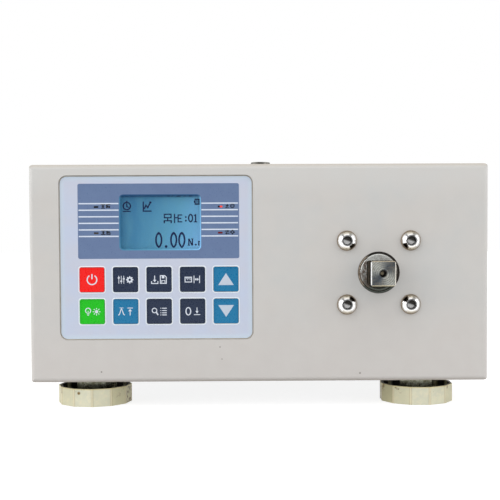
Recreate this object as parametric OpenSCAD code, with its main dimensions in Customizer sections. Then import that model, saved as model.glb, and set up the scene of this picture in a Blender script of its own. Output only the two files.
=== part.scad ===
// Bench tester for torque wrenches and screwdrivers: a folded steel case with
// a square drive on a torsion spindle, a membrane keypad with a display, and
// four levelling feet.  Millimetres; +Z up, the front faces -Y, X to the right
// as the operator sees it; the origin is at the middle of the underside.

/* [Case] */
// Width of the case
case_w = 240; // [234:1:280]
// Height of the case without its feet
case_h = 114; // [112:1:136]
// Depth of the case from front to rear
case_d = 160; // [156:1:200]
// Thickness of the folded steel sheet
sheet_t = 2; // [1.6:0.1:2.2]
// Outer radius of the bends
bend_r = 2.5; // [2.4:0.1:3.5]
// Width of the flange that turns in under the case
flange_w = 14; // [12:0.5:16]
// Thickness of the steel base plate
base_t = 5; // [4:0.5:7]
// Length of the rear panel's flanges inside the case
tray_d = 14; // [12:0.5:16]

/* [Keypad] */
// Width of the keypad cut-out
pad_w = 101.2; // [98:0.2:104]
// Height of the keypad cut-out
pad_h = 86; // [84:0.5:90]
// Corner radius of the keypad cut-out
pad_corner_r = 4.2; // [3:0.2:6]
// Distance from the side of the case to the cut-out
pad_left = 15.6; // [14.5:0.1:20]
// Distance from the top of the case to the cut-out
pad_top = 5.7; // [5.3:0.1:9]
// Gap between the keypad and its cut-out
overlay_gap = 0.6; // [0.4:0.1:1]
// Thickness of the keypad's printed film with its spacer
overlay_t = 0.85; // [0.7:0.05:1]
// Side of a key
key_size = 12.8; // [12:0.2:13.6]
// Distance between key centres along a row
key_pitch_x = 17.5; // [16.8:0.1:18.4]
// Distance between the two rows of keys
key_pitch_z = 16.7; // [15.6:0.1:18]
// Distance from the cut-out's left edge to the first key
keys_left = 10.5; // [8:0.1:11.5]
// Distance from the cut-out's top edge to the first row
keys_top = 48; // [46:0.1:50]
// Travel of a key
key_travel = 0.4; // [0.3:0.05:0.45]
// Width of the display window
win_w = 42.4; // [40:0.2:46]
// Height of the display window
win_h = 28.9; // [27:0.1:32]
// Distance from the cut-out's left edge to the window
win_left = 31.5; // [29:0.1:33]
// Distance from the cut-out's top edge to the window
win_top = 10.1; // [8.4:0.1:11]

/* [Torque unit] */
// Side of the square drive
drive_sq = 12.7; // [9.5:0.1:13]
// How far the square stands out of the case
drive_len = 18; // [14:0.5:24]
// Distance of the drive to the right of the middle of the space beside the keypad
drive_off = 4.1; // [2:0.1:6]
// Diameter of the spindle behind the square
spindle_d = 20; // [19:0.5:22]
// Clearance round the spindle in the front sheet
spindle_gap = 0.9; // [0.6:0.1:1.2]
// Distance between the screws of the bearing housing
screw_span = 33.4; // [33:0.2:36]
// Outer diameter of the bearing
bearing_d = 32; // [30:0.5:33]
// Width of the bearing
bearing_w = 7; // [6:0.5:9]
// Side of the bearing housing
housing_w = 52; // [48:1:58]
// Depth of the bearing housing
housing_l = 22; // [20:1:28]
// Diameter of the torsion section
torsion_d = 17; // [15:0.5:18]
// Length of the torsion section
torsion_l = 30; // [24:1:36]
// Diameter of the sensor's rear flange
sensor_flange_d = 58; // [54:1:64]
// Thickness of the sensor's rear flange
sensor_flange_t = 10; // [8:1:12]
// Thickness of the bracket's upright plate
bracket_t = 12; // [10:1:14]

/* [Levelling feet] */
// Width of a foot across its twelve corners
cup_across = 39.6; // [38:0.2:43]
// Height of a foot's cup
cup_h = 9.5; // [8.5:0.1:11]
// Wall of a foot's cup
cup_wall = 1.4; // [1.2:0.1:2]
// Gap between the cup's rim and the underside of the case
rim_gap = 4.2; // [3.6:0.1:6]
// Distance of the left feet from the left side of the case
foot_side_l = 30; // [28:0.5:36]
// Distance of the right feet from the right side of the case
foot_side_r = 34; // [30:0.5:38]
// Distance of the feet behind the front and ahead of the rear
foot_in = 24; // [22:0.5:28]
// Diameter of the foot's threaded stud
stud_d = 10; // [8:0.5:11]
// Width of the stud's hexagon across its flats
hex_af = 17; // [15:0.5:18]
// Height of the stud's hexagon
hex_h = 8; // [6.5:0.5:8.5]
// How far a foot can be screwed out
foot_travel = 10; // [6:0.5:12]

/* [Bubble level] */
// Diameter of the bubble level on the top
level_d = 11.2; // [10:0.2:16]
// Height of the bubble level
level_h = 5.5; // [4.5:0.1:7]
// Distance of the level to the right of the middle
level_x = 1.5; // [-10:0.5:10]
// Distance of the level behind the front face
level_in = 62; // [50:1:90]

/* [Rear] */
// Distance of the charge socket to the left of the middle
jack_left = 70; // [60:1:80]
// Distance of the data port to the left of the middle
port_left = 16; // [0:1:24]
// Height of the sockets above the case's underside
sockets_up = 62; // [56:1:70]
// How far the data port's shell stands out of the rear
port_proud = 5.8; // [5:0.1:7]

/* [Hidden] */

$fn = 48;
HEX_SIDES = 6;
cut = 1;                 // overrun of every cut
bond = 0.5;              // overlap of solids that are fused into one
fit = 0.05;              // radial clearance of screws and of the feet's threads
press_fit_gap = 0.02;    // radial clearance of the bearing's seats
corner_least = 0.2;      // smallest inner radius of a bend

// heights and depths
z_bot = cup_h + rim_gap;
z_top = z_bot + case_h;
z_mid = z_bot + case_h/2;
plate_z0 = z_bot + sheet_t;
plate_z1 = plate_z0 + base_t;
total_y = drive_len + case_d + port_proud;
front_y = drive_len - total_y/2;

// keypad: the edges of its cut-out, then its layers from the carrier forwards
pad_x0 = -case_w/2 + pad_left;
pad_x1 = pad_x0 + pad_w;
pad_z1 = z_top - pad_top;
pad_z0 = pad_z1 - pad_h;
pad_xc = (pad_x0 + pad_x1)/2;
drive_x = (pad_x1 + case_w/2)/2 + drive_off;
pad_zc = (pad_z0 + pad_z1)/2;
circuit_t = 0.25;
dome_t = 0.25;
dome_d = 8.5;
dome_gap = 0.05;
dome_foot_share = 0.5;   // a dome's step, of its height, and its top, of its width
dome_top_share = 0.7;
key_t = 0.3;
key_rim_t = 0.15;
key_rim_w = 0.5;
key_corner_r = 0.9;
key_gap = 0.2;
circuit_y = sheet_t - circuit_t;
overlay_y = circuit_y - overlay_t;
key_back_y = circuit_y - dome_t - dome_gap - key_travel;
key_front_y = key_back_y - key_t;
KEY_COLS = 5;

// window, light-emitting diodes and display
win_corner_r = 2;
win_gap = 0.15;
win_sink = 0.05;
win_xc = pad_x0 + win_left + win_w/2;
win_zc = pad_z1 - win_top - win_h/2;
led_w = 2.3;
led_h = 0.8;
led_gap = 0.1;
led_left = 19.35;        // centre of the left pair from the cut-out's left edge
led_right = 17.15;       // centre of the right pair from the cut-out's right edge
led_row_a = 16.45;       // centres of the rows below the cut-out's top edge
led_row_b = 30.1;
carrier_t = 1.5;
carrier_y1 = sheet_t + carrier_t;
carrier_lap_x = 10;
carrier_gap_top = 1.2;   // under the case's top sheet
carrier_gap_bottom = 9.3;    // over the base plate
carrier_z0 = plate_z1 + carrier_gap_bottom;
carrier_z1 = z_top - sheet_t - carrier_gap_top;
view_margin = 0.6;
glass_margin = 3.6;
glass_t = 2.2;
bezel_wall = 0.8;
bezel_lip = 0.3;
bezel_gap = 0.2;
light_t = 3;

ribbon_w = 14;
ribbon_t = 0.3;
ribbon_play = 0.5;
ribbon_socket_l = 3;
ribbon_socket_h = 4;
ribbon_up = 8;           // above the cut-out's bottom edge
ribbon_x = win_xc;
ribbon_z = pad_z0 + ribbon_up;

// main board on hexagonal spacers that clamp the carrier on weld studs
weld_stud_d = 3;
weld_stud_l = 5;
spacer_af = 5.5;
spacer_l = 9;
board_t = 1.6;
board_y = carrier_y1 + spacer_l;
board_y1 = board_y + board_t;
stud_edge = 5;           // from the cut-out's side edge to the weld studs
stud_end = 10;           // from the cut-out's top and bottom to the weld studs
m3_d = 3;
m3_head_d = 5.7;
m3_head_h = 1.65;
m3_socket = 2;
m3_play = 0.2;
board_side = 3.5;        // board past the weld studs, beyond their centres
board_screw_l = 5;
board_x0 = pad_x0 - stud_edge - board_side;
board_w = pad_w + 2*stud_edge + 2*board_side;
board_z0 = pad_z0 + stud_end - spacer_af;
board_h = pad_h - 2*stud_end + 2*spacer_af;
chip_t = 2;
relay_t = 10;
can_l = 11;
can_r = 4;
// centre and size of each piece, as shares of the board's width and height
chip_shares = [[0.42, 0.42, 0.13, 0.19], [0.66, 0.58, 0.08, 0.14], [0.30, 0.68, 0.10, 0.07]];
relay_shares = [[0.20, 0.42, 0.12, 0.18], [0.45, 0.12, 0.22, 0.08]];
can_shares = [[0.16, 0.72], [0.27, 0.86], [0.80, 0.26]];

// torque unit, measured back from the front face
square_corner_r = 1.2;
square_chamfer = 0.5;
centre_hole_d = 3.6;
centre_hole_l = 5;
centre_sink = 0.7;
spindle_proud = 0.5;
spindle_chamfer = 0.7;
hole_r = spindle_d/2 + spindle_gap;
lip_l = 4;               // housing wall ahead of the bearing
seat_y0 = sheet_t + lip_l;
seat_y1 = seat_y0 + bearing_w;
housing_y1 = sheet_t + housing_l;
housing_corner_r = 3;
circlip_t = 1.2;
circlip_deep = 1.1;
circlip_w = 2.6;
circlip_gap = 0.1;
circlip_open = 9;
ring_share = 0.26;       // a ring's wall, of the bearing's section
ball_share = 0.62;       // a ball, of the bearing's section
ball_play = 0.04;
BALLS = 13;
bearing_section = (bearing_d - spindle_d)/2;
ball_d = bearing_section*ball_share;
ring_wall = bearing_section*ring_share;
pitch_r = spindle_d/2 + bearing_section/2;
collar_over = 2;         // spindle collar behind the inner ring
collar_l = 5;
torsion_fillet = 2;
torsion_y0 = seat_y1 + collar_l;
torsion_y1 = torsion_y0 + torsion_l;
sensor_y1 = torsion_y1 + sensor_flange_t;
sensor_bore_d = 9;
gauge_flat = 0.5;        // depth of the flats under the gauges
gauge_t = 0.3;
gauge_w = 5;
gauge_l = 9;
m6_d = 6;
m6_play = 0.3;
m6_head_d = 10.5;
m6_head_h = 3.3;
m6_socket = 4;
m6_screw_l = 14;
cap_head_d = 10;
cap_head_h = 6;
cap_socket = 5;
flange_edge = 7;         // from the sensor flange's rim to its screws
FLANGE_SCREWS = 6;
sensor_screw_l = 19;

// tapped bosses of the base plate, then the bracket
boss_d = 18;
boss_h = 6;
bracket_over = 6;        // bracket wider than the sensor's flange, each side
bracket_w = sensor_flange_d + 2*bracket_over;
bracket_y1 = sensor_y1 + bracket_t;
bracket_foot_gap = 4;    // to the boss of the rear foot
bracket_foot_y1 = case_d - foot_in - boss_d/2 - bracket_foot_gap;
bracket_foot_t = 9;
bracket_rib_t = 7;
bracket_rib_up = 42;
bracket_hole_d = 18;
bracket_top = 5;         // above the sensor's flange
bracket_corner_r = 8;
bracket_screw_in = 9;    // from the ribs' inner faces to the foot's screws
bracket_row_shares = [0.25, 0.72];   // rows of the foot's screws, of its length behind the upright

// shares of a screw's head: height of its edge, width of its flat, depth of its socket
rim_share = 0.2;
flat_share = 0.55;
socket_share = 0.6;

// case fastenings
m4_d = 4;
m4_head_d = 7.5;
m4_play = 0.2;
base_screw_l = 6.5;
base_screw_in = 7;       // of the screws from the case's sides and front
BASE_SIDE_SCREWS = 3;
front_screw_share = 0.17;    // places of the front screws, of the case's width
side_play = 0.6;         // base plate to the inside of the case
tray_gap = 0.1;
tray_screw_in = 6;       // of the screws from the rear edge
rear_screw_up_share = 0.24;  // heights of the side screws, of the case's height
rear_screw_x_share = 0.3;    // places of the top screws, of the case's width
rear_screw_l = 5;

// feet
CUP_SIDES = 12;
cup_r = cup_across/2;
cup_inner_r = cup_r - cup_wall/cos(180/CUP_SIDES);
cup_floor_t = 2;
cup_hollow_h = 1.2;      // hollow under the floor
cup_tread_w = 4.5;       // ring that the foot stands on
cup_floor_z = cup_hollow_h + cup_floor_t;
left_cup_turn = 26.3;    // degrees, rest position of the cups
right_cup_turn = 17.3;
journal_d = 8;
rivet_d = 12;
rivet_t = 0.8;
rivet_gap = 0.1;
rivet_round = 0.5;
collar_d = 14;
stud_chamfer = 0.8;
stud_spare = 1;          // thread past the boss when the foot is out
stud_up = base_t + boss_h + foot_travel + stud_spare;
left_hex_turn = 19;      // degrees, rest position of the studs
right_hex_turn = 6.5;
front_foot_y = foot_in;
rear_foot_y = case_d - foot_in;

// battery pack of round cells
cell_d = 18.4;
cell_l = 65;
cell_pitch = 19;
CELLS = 3;
battery_side = 11;       // from the left side of the case to the pack
battery_x0 = -case_w/2 + battery_side;
battery_x1 = battery_x0 + cell_l;
battery_web = 6;
battery_y0 = case_d/2 - (CELLS - 1)*cell_pitch/2;
battery_y1 = battery_y0 + (CELLS - 1)*cell_pitch;
strap_t = 1.5;
strap_w = 22;
strap_foot = 9;
strap_gap = 0.1;
strap_share = 0.62;      // place of the strap along the cells
strap_x = battery_x0 + cell_l*strap_share;

// rear sockets
socket_z = z_bot + sockets_up;
jack_thread_d = 11;
jack_flange_d = 13;
jack_flange_t = 2;
jack_bore_d = 5.6;
jack_bore_l = 9;
jack_pin_d = 2.1;
jack_pin_short = 1;
jack_body_l = 16;
jack_nut_af = 14;
jack_nut_t = 2.2;
port_w = 31;
port_h = 12.5;
port_plate_t = 1;
port_body_w = 19.5;
port_body_h = 10.5;
port_body_l = 10;
port_mouth_w = 17;
port_mouth_h = 8.4;
port_wall = 0.8;
port_corner_r = 2;
port_pin_d = 1.1;
port_pitch = 2.77;
port_rows = 2.84;
port_face_in = 0.6;
d_slope_share = 0.18;    // lean of the shell's sides, of its height
port_screw_span = 25;
jackscrew_af = 5;
jackscrew_l = 4.8;
jackscrew_d = 2.8;
jackscrew_nut_t = 1.8;

// bubble level
level_wall = 1.1;
level_floor = 1;
level_sink = 0.4;
level_gap = 0.1;
level_round = 0.3;

// sensor lead
lead_r = 2;
plug_w = 10;
plug_h = 8;
plug_l = 7;

// Building blocks

// everything is drawn back from the front face and then moved into the frame
module placed() { translate([0, front_y, 0]) children(); }

// rectangle with true arcs at its corners
module rrect(w, h, r) {
  square([w - 2*r, h], center = true);
  square([w, h - 2*r], center = true);
  for (sx = [-1, 1], sz = [-1, 1]) translate([sx*(w/2 - r), sz*(h/2 - r)]) circle(r = r);
}

// upright prism of an X-Z outline between two depths
module prism_y(y0, y1) { translate([0, y1, 0]) rotate([90, 0, 0]) linear_extrude(y1 - y0) children(); }
module rod_y(y0, y1, r) { translate([0, y0, 0]) rotate([-90, 0, 0]) cylinder(h = y1 - y0, r = r); }
module spin_y() { rotate([-90, 0, 0]) rotate_extrude() children(); }
module band(r, y0, y1) { translate([0, y0]) square([r, y1 - y0]); }
module block(x0, x1, y0, y1, z0, z1) { translate([x0, y0, z0]) cube([x1 - x0, y1 - y0, z1 - z0]); }

// block whose front edges and corners are bent over a radius
module bent_box(w, h, d, r) {
  long = d + 2*r;
  intersection() {
    prism_y(0, d) rrect(w, h, r);
    translate([-w/2, 0, 0]) rotate([90, 0, 90]) linear_extrude(w) translate([long/2, 0]) rrect(long, h, r);
    translate([0, 0, -h/2]) linear_extrude(h) translate([0, long/2]) rrect(w, long, r);
  }
}

// hollow box of folded sheet, open at the far end
module folded_box(w, h, d, r) {
  difference() {
    bent_box(w, h, d, r);
    translate([0, sheet_t, 0]) bent_box(w - 2*sheet_t, h - 2*sheet_t, d, max(r - sheet_t, corner_least));
  }
}

// screw with a domed head; the head's underside at z 0, the shank downwards
module button_screw(d, head_d, head_h, l, socket) {
  rim = head_h*rim_share;
  top_r = head_d/2*flat_share;
  c = ((head_d/2)*(head_d/2) + rim*rim - top_r*top_r - head_h*head_h)/(2*(head_h - rim));
  dome = sqrt((head_d/2)*(head_d/2) + (c + rim)*(c + rim));
  difference() {
    union() {
      intersection() {
        cylinder(h = head_h, r = head_d/2);
        translate([0, 0, -c]) sphere(r = dome);
      }
      translate([0, 0, -l]) cylinder(h = l + head_h*rim_share, r = d/2);
    }
    translate([0, 0, head_h*(1 - socket_share)])
      cylinder(h = head_h, r = socket/2/cos(180/HEX_SIDES), $fn = HEX_SIDES);
  }
}

module cap_screw(d, head_d, head_h, l, socket) {
  difference() {
    union() {
      cylinder(h = head_h, r = head_d/2);
      translate([0, 0, -l]) cylinder(h = l + bond, r = d/2);
    }
    translate([0, 0, head_h*(1 - socket_share)])
      cylinder(h = head_h, r = socket/2/cos(180/HEX_SIDES), $fn = HEX_SIDES);
  }
}

// countersunk screw, its head flush at z 0 and its shank upwards
module sunk_screw(d, head_d, l, socket) {
  cone = (head_d - d)/2;
  difference() {
    union() {
      cylinder(h = cone, r1 = head_d/2, r2 = d/2);
      cylinder(h = l, r = d/2);
    }
    translate([0, 0, -cut])
      cylinder(h = cut + cone*socket_share, r = socket/2/cos(180/HEX_SIDES), $fn = HEX_SIDES);
  }
}
module sunk_hole(d, head_d, l) {
  cone = (head_d - d)/2;
  cylinder(h = cone, r1 = head_d/2, r2 = d/2);
  translate([0, 0, -cut]) cylinder(h = l + cut, r = d/2);
  translate([0, 0, -cut]) cylinder(h = cut, r = head_d/2);
}

// Places shared by several pieces

function key_x(col) = pad_x0 + keys_left + key_size/2 + col*key_pitch_x;
function key_z(row) = pad_z1 - keys_top - key_size/2 - row*key_pitch_z;
module at_keys() {
  for (row = [0, 1], col = [0:KEY_COLS - 1])
    translate([key_x(col), 0, key_z(row)]) children();
}
module at_leds() {
  for (x = [pad_x0 + led_left, pad_x1 - led_right], z = [pad_z1 - led_row_a, pad_z1 - led_row_b])
    translate([x, 0, z]) children();
}
module at_weld_studs() {
  for (x = [pad_x0 - stud_edge, pad_x1 + stud_edge], z = [pad_z0 + stud_end, pad_zc, pad_z1 - stud_end])
    translate([x, 0, z]) children();
}
module at_window() { translate([win_xc, 0, win_zc]) children(); }
module at_drive() { translate([drive_x, 0, z_mid]) children(); }
module at_housing_screws() {
  for (sx = [-1, 1], sz = [-1, 1])
    translate([drive_x + sx*screw_span/2, 0, z_mid + sz*screw_span/2]) children();
}
module at_flange_screws() {
  at_drive() for (i = [0:FLANGE_SCREWS - 1]) rotate([0, (i + 0.5)*360/FLANGE_SCREWS, 0])
    translate([sensor_flange_d/2 - flange_edge, 0, 0]) children();
}
module at_bracket_screws() {
  for (sx = [-1, 1], f = bracket_row_shares)
    translate([
      drive_x + sx*(bracket_w/2 - bracket_rib_t - bracket_screw_in),
      bracket_y1 + f*(bracket_foot_y1 - bracket_y1),
      0
    ]) children();
}
// screws that hold the base plate down on the flanges
module at_base_screws() {
  plate_len = case_d - tray_d;
  for (sx = [-1, 1], i = [0:BASE_SIDE_SCREWS - 1])
    translate([sx*(case_w/2 - base_screw_in), plate_len*(i + 0.5)/BASE_SIDE_SCREWS, z_bot]) children();
  for (sx = [-1, 1]) translate([sx*case_w*front_screw_share, base_screw_in, z_bot]) children();
}

// screws of the rear panel, +Z pointing out of the case
module at_rear_screws() {
  y = case_d - tray_screw_in;
  for (sx = [-1, 1], sz = [-1, 1])
    translate([sx*case_w/2, y, z_mid + sz*case_h*rear_screw_up_share]) rotate([0, sx*90, 0]) children();
  for (sx = [-1, 0, 1]) translate([sx*case_w*rear_screw_x_share, y, z_top]) children();
}
module at_port_screws() {
  for (sx = [-1, 1]) translate([-port_left + sx*port_screw_span/2, 0, socket_z]) children();
}

// Case

// folded and welded case, open at the rear and under the base plate
module case_shell() {
  color([0.80, 0.785, 0.77]) placed() {
    difference() {
      translate([0, 0, z_mid]) folded_box(case_w, case_h, case_d, bend_r);
      block(-case_w/2 + flange_w, case_w/2 - flange_w, flange_w, case_d + cut,
        z_bot - cut, z_bot + sheet_t + cut);
      translate([pad_xc, 0, pad_zc]) prism_y(-cut, sheet_t + cut) rrect(pad_w, pad_h, pad_corner_r);
      at_drive() rod_y(-cut, sheet_t + cut, hole_r);
      at_housing_screws() rod_y(-cut, sheet_t + cut, m6_d/2 + m6_play);
      at_base_screws() sunk_hole(m4_d + 2*m4_play, m4_head_d + 2*fit, sheet_t + cut);
      at_rear_screws() translate([0, 0, -sheet_t - cut]) cylinder(h = sheet_t + 2*cut, r = m3_d/2 + m3_play);
    }
    at_weld_studs() rod_y(sheet_t, carrier_y1 + weld_stud_l, weld_stud_d/2);
  }
}

// thick plate on the flanges, tapped for the feet
module base_plate() {
  color([0.62, 0.63, 0.64]) placed() difference() {
    union() {
      block(-case_w/2 + sheet_t + side_play, case_w/2 - sheet_t - side_play,
            sheet_t + side_play, case_d - tray_d - side_play, plate_z0, plate_z1);
      at_feet() translate([0, 0, plate_z1 - bond]) cylinder(h = boss_h + bond, r = boss_d/2);
    }
    at_feet() translate([0, 0, plate_z0 - cut]) cylinder(h = base_t + boss_h + 2*cut, r = stud_d/2 + fit);
    at_base_screws() translate([0, 0, sheet_t - cut]) cylinder(h = base_t + 2*cut, r = m4_d/2 + fit);
    at_bracket_screws() translate([0, 0, plate_z0 - cut]) cylinder(h = base_t + 2*cut, r = m6_d/2 + fit);
    at_strap_feet() translate([0, 0, plate_z0 - cut]) cylinder(h = base_t + 2*cut, r = m3_d/2 + fit);
  }
}

module base_screws() {
  color([0.30, 0.30, 0.32]) placed() at_base_screws() sunk_screw(m4_d, m4_head_d, base_screw_l, m3_socket);
}

// rear panel, a shallow tray whose flanges slide into the case
module rear_panel() {
  color([0.80, 0.785, 0.77]) placed() difference() {
    translate([0, case_d, z_mid]) rotate([0, 0, 180])
      folded_box(case_w - 2*sheet_t - 2*tray_gap, case_h - 2*sheet_t - 2*tray_gap, tray_d, bend_r);
    at_rear_screws() translate([0, 0, -2*sheet_t - tray_gap - cut])
      cylinder(h = 2*sheet_t + 2*cut, r = m3_d/2 + fit);
    translate([-jack_left, 0, socket_z]) rod_y(case_d - sheet_t - cut, case_d + cut, jack_thread_d/2 + fit);
    translate([-port_left, 0, socket_z]) prism_y(case_d - sheet_t - cut, case_d + cut)
      rrect(port_body_w + 2*fit, port_body_h + 2*fit, port_corner_r);
    at_port_screws() rod_y(case_d - sheet_t - cut, case_d + cut, jackscrew_d/2 + fit);
  }
}

module rear_panel_screws() {
  color([0.30, 0.30, 0.32]) placed() at_rear_screws()
    button_screw(m3_d, m3_head_d, m3_head_h, rear_screw_l, m3_socket);
}

// Keypad

// printed film on its spacer, open at the keys, the diodes and the window
module keypad_overlay() {
  color([0.78, 0.815, 0.885]) placed() difference() {
    translate([pad_xc, 0, pad_zc]) prism_y(overlay_y, circuit_y)
      rrect(pad_w - 2*overlay_gap, pad_h - 2*overlay_gap, pad_corner_r - overlay_gap);
    at_keys() prism_y(overlay_y - cut, circuit_y + cut)
      rrect(key_size + 2*key_gap, key_size + 2*key_gap, key_corner_r + key_gap);
    at_leds() prism_y(overlay_y - cut, circuit_y + cut)
      square([led_w + 2*led_gap, led_h + 2*led_gap], center = true);
    at_window() prism_y(overlay_y - cut, circuit_y + cut)
      rrect(win_w + 2*win_gap, win_h + 2*win_gap, win_corner_r + win_gap);
  }
}

module display_window() {
  color([0.55, 0.72, 0.88, 0.5]) placed() at_window()
    prism_y(overlay_y + win_sink, circuit_y) rrect(win_w, win_h, win_corner_r);
}

// contact layer under the film, open behind the window
module keypad_circuit() {
  color([0.30, 0.42, 0.36]) placed() difference() {
    translate([pad_xc, 0, pad_zc]) prism_y(circuit_y, sheet_t)
      rrect(pad_w - 2*overlay_gap, pad_h - 2*overlay_gap, pad_corner_r - overlay_gap);
    at_window() prism_y(circuit_y - cut, sheet_t + cut)
      rrect(win_w - view_margin, win_h - view_margin, win_corner_r);
  }
}

// one snap dome under each key
module snap_domes() {
  color([0.80, 0.80, 0.78]) placed() at_keys() {
    rod_y(circuit_y - dome_t*dome_foot_share, circuit_y, dome_d/2);
    rod_y(circuit_y - dome_t, circuit_y, dome_d/2*dome_top_share);
  }
}

// plate behind the front sheet that backs the keypad
module keypad_carrier() {
  color([0.74, 0.75, 0.76]) placed() difference() {
    block(pad_x0 - carrier_lap_x, pad_x1 + carrier_lap_x, sheet_t, carrier_y1, carrier_z0, carrier_z1);
    at_window() prism_y(sheet_t - cut, carrier_y1 + cut)
      rrect(win_w + view_margin, win_h + view_margin, win_corner_r);
    at_weld_studs() rod_y(sheet_t - cut, carrier_y1 + cut, weld_stud_d/2 + m3_play);
    translate([ribbon_x, 0, ribbon_z]) block(-ribbon_w/2 - ribbon_play, ribbon_w/2 + ribbon_play,
          sheet_t - cut, carrier_y1 + cut, -ribbon_play, ribbon_t + ribbon_play);
  }
}

// flat lead from the contact layer through the carrier to the board
module keypad_ribbon() {
  color([0.85, 0.55, 0.20]) placed() translate([ribbon_x, 0, ribbon_z])
    block(-ribbon_w/2, ribbon_w/2, sheet_t, board_y - ribbon_socket_l, 0, ribbon_t);
}

module status_leds() {
  color([0.75, 0.10, 0.08]) placed() at_leds()
    prism_y(overlay_y + win_sink, circuit_y) square([led_w, led_h], center = true);
}

// one embossed key of the film: a thin plate with a raised outline
module key(col, row, tint) {
  color(tint) placed() translate([key_x(col), 0, key_z(row)]) difference() {
    prism_y(key_front_y - key_rim_t, key_back_y) rrect(key_size, key_size, key_corner_r);
    prism_y(key_front_y - key_rim_t - cut, key_front_y)
      rrect(key_size - 2*key_rim_w, key_size - 2*key_rim_w, key_corner_r - key_rim_w);
  }
}
RED = [0.93, 0.15, 0.10];
GREEN = [0.20, 0.78, 0.16];
NAVY = [0.23, 0.28, 0.38];
BLUE = [0.19, 0.52, 0.70];
module key_power() { key(0, 0, RED); }
module key_set() { key(1, 0, NAVY); }
module key_save() { key(2, 0, NAVY); }
module key_unit() { key(3, 0, NAVY); }
module key_up() { key(4, 0, BLUE); }
module key_light() { key(0, 1, GREEN); }
module key_peak() { key(1, 1, BLUE); }
module key_view() { key(2, 1, NAVY); }
module key_zero() { key(3, 1, NAVY); }
module key_down() { key(4, 1, BLUE); }

// Display and board

// pressed frame round the display's glass and its light
module lcd_bezel() {
  w = win_w + 2*glass_margin + 2*bezel_gap;
  h = win_h + 2*glass_margin + 2*bezel_gap;
  color([0.25, 0.26, 0.28]) placed() at_window() difference() {
    prism_y(carrier_y1, board_y) square([w + 2*bezel_wall, h + 2*bezel_wall], center = true);
    prism_y(carrier_y1 + bezel_lip, board_y + cut) square([w, h], center = true);
    prism_y(carrier_y1 - cut, carrier_y1 + bezel_lip + cut)
      rrect(win_w + view_margin, win_h + view_margin, win_corner_r);
  }
}
module lcd_glass() {
  color([0.40, 0.62, 0.80]) placed() at_window()
    prism_y(carrier_y1 + bezel_lip, carrier_y1 + bezel_lip + glass_t)
      square([win_w + 2*glass_margin, win_h + 2*glass_margin], center = true);
}
module lcd_backlight() {
  y0 = carrier_y1 + bezel_lip + glass_t;
  color([0.93, 0.94, 0.95]) placed() at_window()
    prism_y(y0, y0 + light_t) square([win_w + 2*glass_margin, win_h + 2*glass_margin], center = true);
}

module main_board() {
  color([0.08, 0.36, 0.20]) placed() difference() {
    block(board_x0, board_x0 + board_w, board_y, board_y1, board_z0, board_z0 + board_h);
    at_weld_studs() rod_y(board_y - cut, board_y1 + cut, m3_d/2 + m3_play);
  }
}

module on_board(c) { translate([board_x0 + c[0]*board_w, board_y1, board_z0 + c[1]*board_h]) children(); }
// processor, converter, relay, capacitors and sockets on the board
module board_chips() {
  color([0.10, 0.10, 0.11]) placed() {
    for (c = chip_shares) on_board(c) prism_y(0, chip_t) square([c[2]*board_w, c[3]*board_h], center = true);
    for (c = relay_shares) on_board(c) prism_y(0, relay_t)
      square([c[2]*board_w, c[3]*board_h], center = true);
    for (c = can_shares) on_board(c) rod_y(0, can_l, can_r);
    translate([pad_x1 + stud_edge - plug_w, board_y1, z_mid])
      block(-plug_w/2, plug_w/2, 0, plug_l, -plug_h/2, plug_h/2);
    translate([ribbon_x, 0, ribbon_z]) difference() {
      block(-ribbon_w/2 - 2*ribbon_play, ribbon_w/2 + 2*ribbon_play,
        board_y - ribbon_socket_l - bond, board_y, -ribbon_socket_h/2, ribbon_socket_h/2);
      block(-ribbon_w/2 - fit, ribbon_w/2 + fit,
        board_y - ribbon_socket_l - 2*cut, board_y - ribbon_socket_l, -fit, ribbon_t + fit);
    }
  }
}

module board_spacers() {
  color([0.78, 0.66, 0.36]) placed() at_weld_studs() difference() {
    prism_y(carrier_y1, board_y) circle(r = spacer_af/2/cos(180/HEX_SIDES), $fn = HEX_SIDES);
    rod_y(carrier_y1 - cut, board_y + cut, m3_d/2 + fit);
  }
}
module board_screws() {
  color([0.75, 0.75, 0.74]) placed() at_weld_studs() translate([0, board_y1, 0]) rotate([-90, 0, 0])
    button_screw(m3_d, m3_head_d, m3_head_h, board_screw_l, m3_socket);
}

// Torque unit

// square with its end chamfered on all four sides
module drive_square() {
  long = drive_len + sheet_t;
  h = drive_sq/2;
  module side() polygon([[0, -h + square_chamfer], [0, h - square_chamfer], [square_chamfer, h],
    [long, h], [long, -h], [square_chamfer, -h]]);
  translate([0, -drive_len, 0]) intersection() {
    prism_y(0, long) rrect(drive_sq, drive_sq, square_corner_r);
    translate([-h, 0, 0]) rotate([90, 0, 90]) linear_extrude(drive_sq) side();
    translate([0, 0, -h]) linear_extrude(drive_sq) rotate(90) side();
  }
}

// inner corner of a revolved profile at a shoulder, filled to a radius; s is
// the side of the shoulder that the fillet lies on
module fillet(r, y, s, f) {
  difference() {
    translate([r - bond, s > 0 ? y - bond : y - f]) square([f + bond, f + bond]);
    translate([r + f, y + s*f]) circle(r = f);
  }
}

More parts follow.
